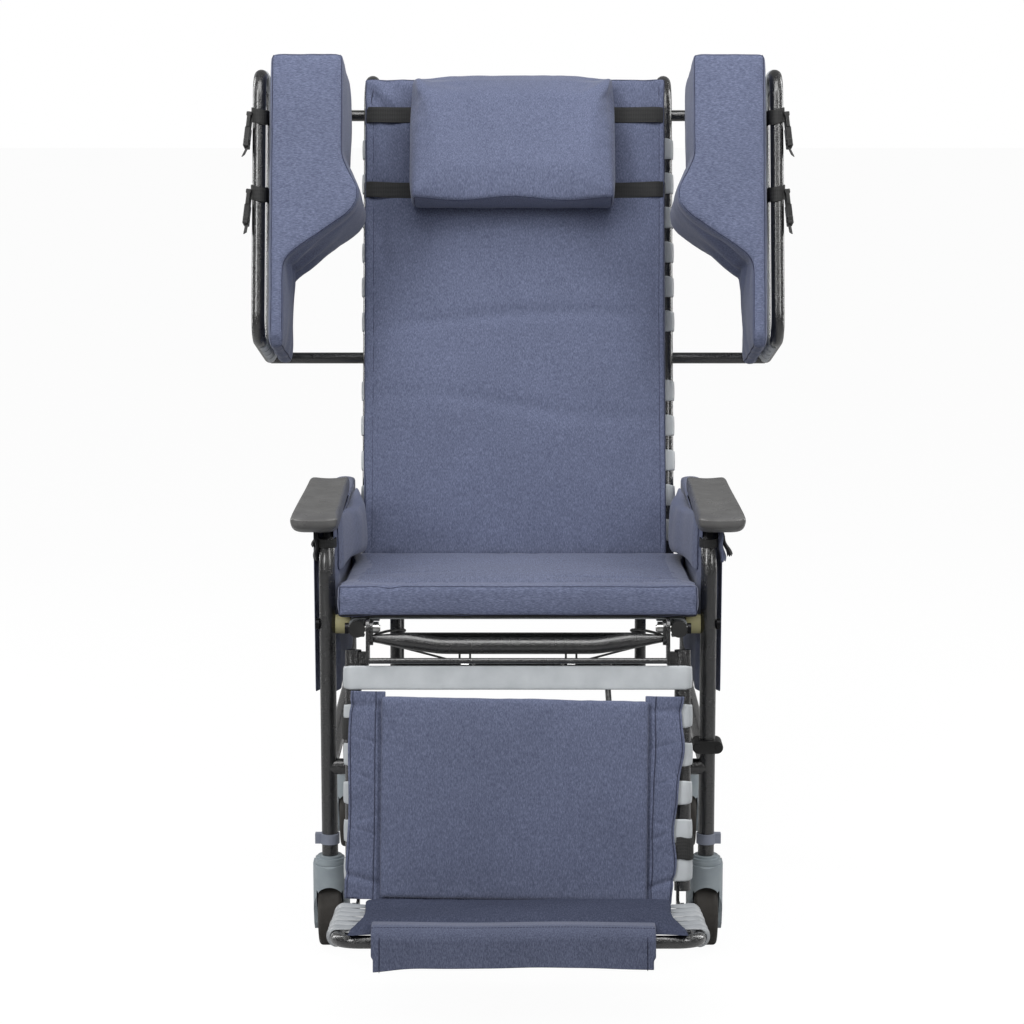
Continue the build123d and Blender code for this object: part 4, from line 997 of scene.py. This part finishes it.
def panel_skirts(side, sign):
    """The two hanging skins, the cloth that closes them on top and the tie tails."""
    def skirt(x, wave_depth, u, v):
        y = SKIRT_Y[0] + (SKIRT_Y[1] - SKIRT_Y[0]) * v
        z = SKIRT_Z[0] + (SKIRT_Z[1] - SKIRT_Z[0]) * u
        fold = wave_depth * math.sin(y * 41 + 2) * (1 - u) + 0.0065 * ease(y, -0.235, -0.263)
        return (sign * (x + fold), y, z + 0.004 * math.sin(y * 13) * (1 - u))

    def crown(u, v):
        y = CROWN_Y[0] + (CROWN_Y[1] - CROWN_Y[0]) * u
        return (sign * (SKIRT_X[0] + CROWN_WIDTH * v), y, 0.6785 + 0.0045 * math.sin(math.pi * v) ** 0.5)

    def tie(number, spot, u, v):
        y, drop, swing, wide = spot
        x = 0.3125 + swing * u + wide * (v - 0.3) * (0.5 + 0.5 * u) + 0.0015 * math.sin(u * 9)
        ragged = 0.004 * math.sin(v * 17 + number * 2) * ease(u, 0.8, 1.0)
        return (sign * x, y + 0.006 * math.sin(v * 5 + u * 3), 0.678 - drop * u - ragged)

    sheet("side_skirt_inner_" + side, "base", WORLD, 40, 60,
          lambda u, v: skirt(SKIRT_X[0], 0.0010, u, v), 0.0018, [cloth_up])
    sheet("side_skirt_outer_" + side, "base", WORLD, 40, 60,
          lambda u, v: skirt(SKIRT_X[1], 0.0012, u, v), 0.0020, [cloth_up])
    sheet("side_crown_" + side, "base", WORLD, 30, 14, crown, 0.0018, [cloth_up])
    for number, spot in enumerate(TIES[side]):
        mat = cloth_up if (side, number) == ("right", 0) else cloth_black
        sheet("side_tie_%s_%d" % (side, number), "base", WORLD, 24, 8,
              lambda u, v: tie(number, spot, u, v), 0.0014, [mat])


for side, sign in SIDES:
    panel_pad(side, sign)
    panel_skirts(side, sign)

# ------------------------------------------------------------------ strap loops

STRAP_TURNS = 12
STRAP_TAIL = 0.025
STRAP_THICK = 0.0019
POST_X, POST_R = 0.254, 0.0127     # back posts and legrest side tubes
FOOT_X, FOOT_R = 0.262, 0.0095     # footrest side tubes
FOOT_STRAPS = [-0.052 - 0.038 * i for i in range(6)]
LEG_STRAPS = [-0.075 - 0.0592 * i for i in range(6)]
FITTINGS_Z = (0.401, 0.826)        # wing receivers, where there is no strap
BACK_STRAPS = [z for z in (0.100 + 0.060 * i for i in range(12))
               if min(abs(z - fitting) for fitting in FITTINGS_Z) > 0.0317]


def strap_path(reach, radius):
    """Strap centre line and outward direction, across two tubes: tail, loop, flat, loop, tail."""
    half = [(reach - STRAP_TAIL, -radius, 0, -1), (reach - STRAP_TAIL * 0.5, -radius, 0, -1)]
    for k in range(STRAP_TURNS + 1):
        a = math.pi * k / STRAP_TURNS - math.pi / 2
        half.append((reach + radius * math.cos(a), radius * math.sin(a), math.cos(a), math.sin(a)))
    flat = [(reach * (1 - k / 8), radius, 0, 1) for k in range(1, 16)]
    return half + flat + [(-a, b, -c, d) for a, b, c, d in reversed(half)]


def strap_loops(name, body, place, node_name, spots, reach, tube_r, width, turn, swell, mat):
    """Vinyl straps with swollen loops; turn maps (across, out, along) to the local frame."""
    points, faces = [], []
    cols = 7
    path = strap_path(reach, tube_r + 0.0013)
    for number, spot in enumerate(spots):
        base = len(points)
        for a, b, c, d in path:
            looped = ease(abs(a), reach - 0.012, reach)
            squeeze = 1 - 0.10 * looped * ease(c if a > 0 else -c, 0.2, 1.0)
            for k in range(cols):
                w = 2 * k / (cols - 1) - 1
                lift = swell * looped * (1 - w * w) + 0.0004 * math.sin(a * 40 + number * 2)
                points.append(turn(a + c * lift, b + d * lift, spot + w * width / 2 * squeeze))
        for i in range(len(path) - 1):
            for k in range(cols - 1):
                p = base + i * cols + k
                faces.append((p, p + 1, p + cols + 1, p + cols))
    item = make_object(name, points, faces, place, [mat])
    thicken(item, STRAP_THICK)
    subdivide(item)
    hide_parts(node_name)
    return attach(item, body)


def lying(across, out, along):
    return (across, along, out)


def upright(across, out, along):
    return (across, -out, along)


vinyl = MATERIALS["strap_vinyl"]
# The footrest straps take the grey vinyl copy with painted shade.
strap_loops("footrest_strap_loops", "footrest", FOOTREST, "footrest_straps", FOOT_STRAPS, FOOT_X, FOOT_R,
            0.0275, lying, 0.0052, vinyl_painted_shade)
strap_loops("legrest_strap_loops", "legrest", LEGREST, "legrest_straps", LEG_STRAPS, POST_X, POST_R,
            0.0375, upright, 0.0008, vinyl)
strap_loops("back_strap_loops", "back", BACK, "back_straps", BACK_STRAPS, POST_X, POST_R,
            0.0375, upright, 0.0006, vinyl)

# ------------------------------------------------------------------ webbing and buckles

WEBBING = 0.0014
THIN_WEBBING = 0.0012
RING_R = 0.0125                 # webbing loop around the wing's front bar
BAR_X, BAR_Y = 0.427, -0.235
WING_BANDS_Z = (0.639, 0.768)
PILLOW_BAND = 0.027
BACK_PAD_X = (-0.2620, 0.2510)
ARM_STRAP_PLACE = (0.297, -0.262, 0.655)
CALF_BANDS = ((-1, -0.152), (1, -0.338))


def band(name, body, place, path, width, thick, axis=Vector((0, 0, 1))):
    """Flat webbing swept along a path with its width along an axis."""
    pts = []
    for p in path:
        for w in (-0.5, -0.25, 0.0, 0.25, 0.5):
            pts.append(tuple(Vector(p) + axis * (width * w)))
    faces = [(5 * i + k, 5 * i + k + 1, 5 * i + k + 6, 5 * i + k + 5)
             for i in range(len(path) - 1) for k in range(4)]
    item = make_object(name, pts, faces, place, [webbing])
    thicken(item, thick)
    soften(item, thick * 0.3, 2)
    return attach(item, body)


def ring(centre_x, centre_y, radius_x, radius_y, start, sweep, steps):
    """Arc of (x, y, angle) around a tube, angles in degrees."""
    out = []
    for k in range(steps + 1):
        a = math.radians(start + sweep * k / steps)
        out.append((centre_x + radius_x * math.cos(a), centre_y + radius_y * math.sin(a), a))
    return out


def buckle(name, body, place, centre, lean_back):
    """Side-release buckle: frame, prongs and cross bars."""
    t = 0.0045
    bars = [((-t, -0.015, -0.018), (t, 0.015, 0.004)),
            ((-t * 0.7, -0.0165, 0.003), (t * 0.7, -0.0105, 0.024)),
            ((-t * 0.7, 0.0105, 0.003), (t * 0.7, 0.0165, 0.024)),
            ((-t * 0.7, -0.004, 0.003), (t * 0.7, 0.004, 0.023)),
            ((-t, -0.0165, 0.022), (t, 0.0165, 0.029)),
            ((-t, -0.0165, -0.029), (t, 0.0165, -0.023)),
            ((-t, -0.0165, -0.024), (t, -0.0125, -0.016)),
            ((-t, 0.0125, -0.024), (t, 0.0165, -0.016))]
    points, faces = [], []
    for low, high in bars:
        corners, quads = box_points(np.array(low), np.array(high))
        faces.extend([tuple(i + len(points) for i in q) for q in quads])
        points.extend(corners.tolist())
    spin = place @ Matrix.Translation(centre) @ Matrix.Rotation(lean_back, 4, "Y")
    item = make_object(name, points, faces, spin, [buckle_plastic], smooth=False)
    soften(item, 0.0014, 3)
    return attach(item, body)


def wing_webbing(side, sign):
    """Two bands that hold a wing cushion to its loop, each with a buckle and a loose tail."""
    for number, z in enumerate(WING_BANDS_Z):
        path = [(sign * 0.4118, -0.150, z), (sign * 0.4120, -0.190, z), (sign * 0.4125, -0.222, z)]
        arc = ring(BAR_X, BAR_Y, RING_R, RING_R, 165, 205, 16)
        path += [(sign * x, y, z - 0.003 * math.sin(k * 0.3)) for k, (x, y, _) in enumerate(arc)]
        loop = band("wing_band_%s_%d" % (side, number), "wing_" + side, BACK, path, 0.025, WEBBING)
        buckle("wing_buckle_%s_%d" % (side, number), "wing_" + side, BACK,
               (sign * 0.4455, BAR_Y + 0.004, z - 0.022), sign * math.radians(-6))
        tail = [(sign * 0.4445, BAR_Y + 0.004, z - 0.040), (sign * 0.447, BAR_Y, z - 0.052),
                (sign * (0.449 + 0.004 * number), BAR_Y - 0.004, z - 0.066)]
        band("wing_tail_%s_%d" % (side, number), "wing_" + side, BACK, tail, 0.018, WEBBING,
             Vector((0.35 * sign, 0.94, 0)))
        if number == 0:
            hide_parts("wing_webbing_" + side)


def pillow_band(number, z, surface):
    """A band that lies on the back pad and passes flat behind the pillow."""
    left, right = BACK_PAD_X
    path = [(left - 0.0025, -0.0185, z), (left - 0.0025, -0.0300, z)]
    for i in range(61):
        x = left + (right - left) * i / 60
        sag = -0.004 * ease(abs(x - PILLOW_X), 0.27, 0.17) * (1 if number == 0 else 0.3)
        near = surface.find((x, -0.06, z + sag))[1]
        y = min(back_points[near][1], -0.040) - 0.0014 if abs(x + 0.0055) < 0.2490 else -0.0405
        if abs(x - PILLOW_X) < 0.172:
            y = -0.0468
        path.append((x, y, z + sag))
    path += [(right + 0.0025, -0.0300, z), (right + 0.0025, -0.0185, z)]
    middle = np.array(path)
    for _ in range(2):
        middle[1:-1] = (middle[:-2] + 2 * middle[1:-1] + middle[2:]) / 4
    item = band("pillow_band_%d" % number, "back", BACK, [tuple(p) for p in middle],
                PILLOW_BAND, THIN_WEBBING)
    if number == 0:
        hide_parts("pillow_webbing")


def calf_band(sign, z):
    """Webbing wrapped round a legrest side tube."""
    arc = ring(POST_X, 0, 0.0168, 0.0168, -100, 200, 24)
    path = [(sign * x, y, z + 0.002 * math.sin(a * 2)) for x, y, a in arc]
    path = [(sign * 0.244, -0.0160, z)] + path + [(sign * 0.236, 0.0160, z)]
    band("calf_band_" + ("left" if sign < 0 else "right"), "legrest", LEGREST, path, 0.034, THIN_WEBBING)


def arm_strap(side, sign):
    """Narrow strap round the arm rail."""
    x, y, z = ARM_STRAP_PLACE
    path = [(sign * px, py, z) for px, py, _ in ring(x, y, 0.0138, 0.0175, 0, 360, 24)]
    band("arm_strap_" + side, "base", WORLD, path, 0.014, THIN_WEBBING)


for side, sign in SIDES:
    wing_webbing(side, sign)
surface = tree_of(back_points)
for number, z in enumerate(BAND_Z):
    pillow_band(number, z, surface)
for sign, z in CALF_BANDS:
    calf_band(sign, z)
for side, sign in SIDES:
    arm_strap(side, sign)

# ------------------------------------------------------------------ cables under the seat

CABLE_A = [(0.205, 0.40, -0.07), (0.17, 0.33, -0.055), (0.20, 0.18, -0.030), (0.225, 0.03, -0.022)]
CABLE_B = [(0.10, 0.392, -0.12), (0.14, 0.30, -0.095), (0.205, 0.16, -0.055), (0.232, 0.05, -0.034)]

for side, sign in SIDES:
    for tag, track, radius in (("a", CABLE_A, 0.0022), ("b", CABLE_B, 0.0018)):
        curve_piece("seat_cable_%s_%s" % (tag, side), "seat", SEAT, [[(sign * x, y, z) for x, y, z in track]],
                    radius, MATERIALS["black_plastic"], roundness=3, smooth=True)

# ------------------------------------------------------------------ floor, light and camera

FLOOR_HALF = 30.0
CAMERA_PLACE = (0, -4.680, 1.450)
CAMERA_DOWN = 9.6               # degrees below level
FOCAL_SHARE = 2880 / 1024       # focal length over frame width
SHIFT = -6 / 1024
SENSOR = 36.0
LAMPS = (
    ("key_left", (-2.3, -2.9, 2.9), (0, 0, 0.9), (0.9, 2.4), 84),
    ("key_right", (2.5, -2.6, 2.7), (0, 0, 0.9), (0.8, 2.4), 52),
    ("top_soft", (0, -1.0, 3.1), (0, 0.1, 0.6), (2.2, 1.6), 50),
    ("rim_left", (-2.4, 1.4, 1.6), (0, 0, 0.7), (0.6, 2.4), 30),
    ("rim_right", (2.4, 1.4, 1.6), (0, 0, 0.7), (0.6, 2.4), 30),
)


def seen_by_camera(tree, hidden, strength, share):
    """Glow added for camera rays only, so a white backdrop doesn't flood the underside with light."""
    path = node(tree, "ShaderNodeLightPath")
    glow = node(tree, "ShaderNodeEmission", Strength=strength)
    blend = node(tree, "ShaderNodeMixShader")
    part = node(tree, "ShaderNodeMath", operation="MULTIPLY")
    tree.links.new(path.outputs["Is Camera Ray"], part.inputs[0])
    part.inputs[1].default_value = share
    tree.links.new(part.outputs[0], blend.inputs[0])
    tree.links.new(hidden, blend.inputs[1])
    tree.links.new(glow.outputs[0], blend.inputs[2])
    return blend.outputs[0]


def studio_floor():
    corners = [(x * FLOOR_HALF, y * FLOOR_HALF, 0) for x, y in ((-1, -1), (1, -1), (1, 1), (-1, 1))]
    floor = make_object("studio_floor", corners, [(0, 1, 2, 3)], WORLD, [], smooth=False)
    pale, tree, bsdf = new_material("studio_pale", (0.5, 0.5, 0.5), 0.9)
    tree.links.new(ramp(tree, noise_at(tree, (3, 3, 3)), [(0.3, (0.42,) * 3), (0.7, (0.45,) * 3)]),
                   bsdf.inputs["Base Color"])
    surface = tree.nodes["Material Output"].inputs["Surface"]
    tree.links.new(seen_by_camera(tree, bsdf.outputs[0], 1.07, 0.9), surface)
    floor.data.materials.append(pale)


def studio_world():
    """Dim white sky for light and a bright one for the camera."""
    world = bpy.data.worlds.new("studio_world")
    bpy.context.scene.world = world
    world.use_nodes = True
    tree = world.node_tree
    sky = tree.nodes["Background"]
    sky.inputs[0].default_value = (1, 1, 1, 1)
    sky.inputs[1].default_value = 0.2
    backdrop = node(tree, "ShaderNodeBackground", Strength=1.0)
    backdrop.inputs[0].default_value = (1, 1, 1, 1)
    path = node(tree, "ShaderNodeLightPath")
    either = node(tree, "ShaderNodeMixShader")
    tree.links.new(path.outputs["Is Camera Ray"], either.inputs[0])
    tree.links.new(sky.outputs[0], either.inputs[1])
    tree.links.new(backdrop.outputs[0], either.inputs[2])
    tree.links.new(either.outputs[0], tree.nodes["World Output"].inputs["Surface"])


def area_light(name, place, target, size, power):
    data = bpy.data.lights.new(name, "AREA")
    data.shape = "RECTANGLE"
    data.size, data.size_y = size
    data.energy = power
    item = bpy.data.objects.new(name, data)
    item.location = place
    item.rotation_euler = (Vector(target) - Vector(place)).to_track_quat("-Z", "Y").to_euler()
    bpy.context.scene.collection.objects.link(item)


def studio_camera():
    data = bpy.data.cameras.new("camera")
    data.sensor_width = SENSOR
    data.lens = FOCAL_SHARE * SENSOR
    data.shift_x = SHIFT
    camera = bpy.data.objects.new("camera", data)
    camera.location = CAMERA_PLACE
    camera.rotation_euler = (math.radians(90 - CAMERA_DOWN), 0, 0)
    bpy.context.scene.collection.objects.link(camera)
    bpy.context.scene.camera = camera


studio_floor()
studio_world()
for lamp in LAMPS:
    area_light(*lamp)
studio_camera()
bpy.context.scene.view_settings.view_transform = "Standard"
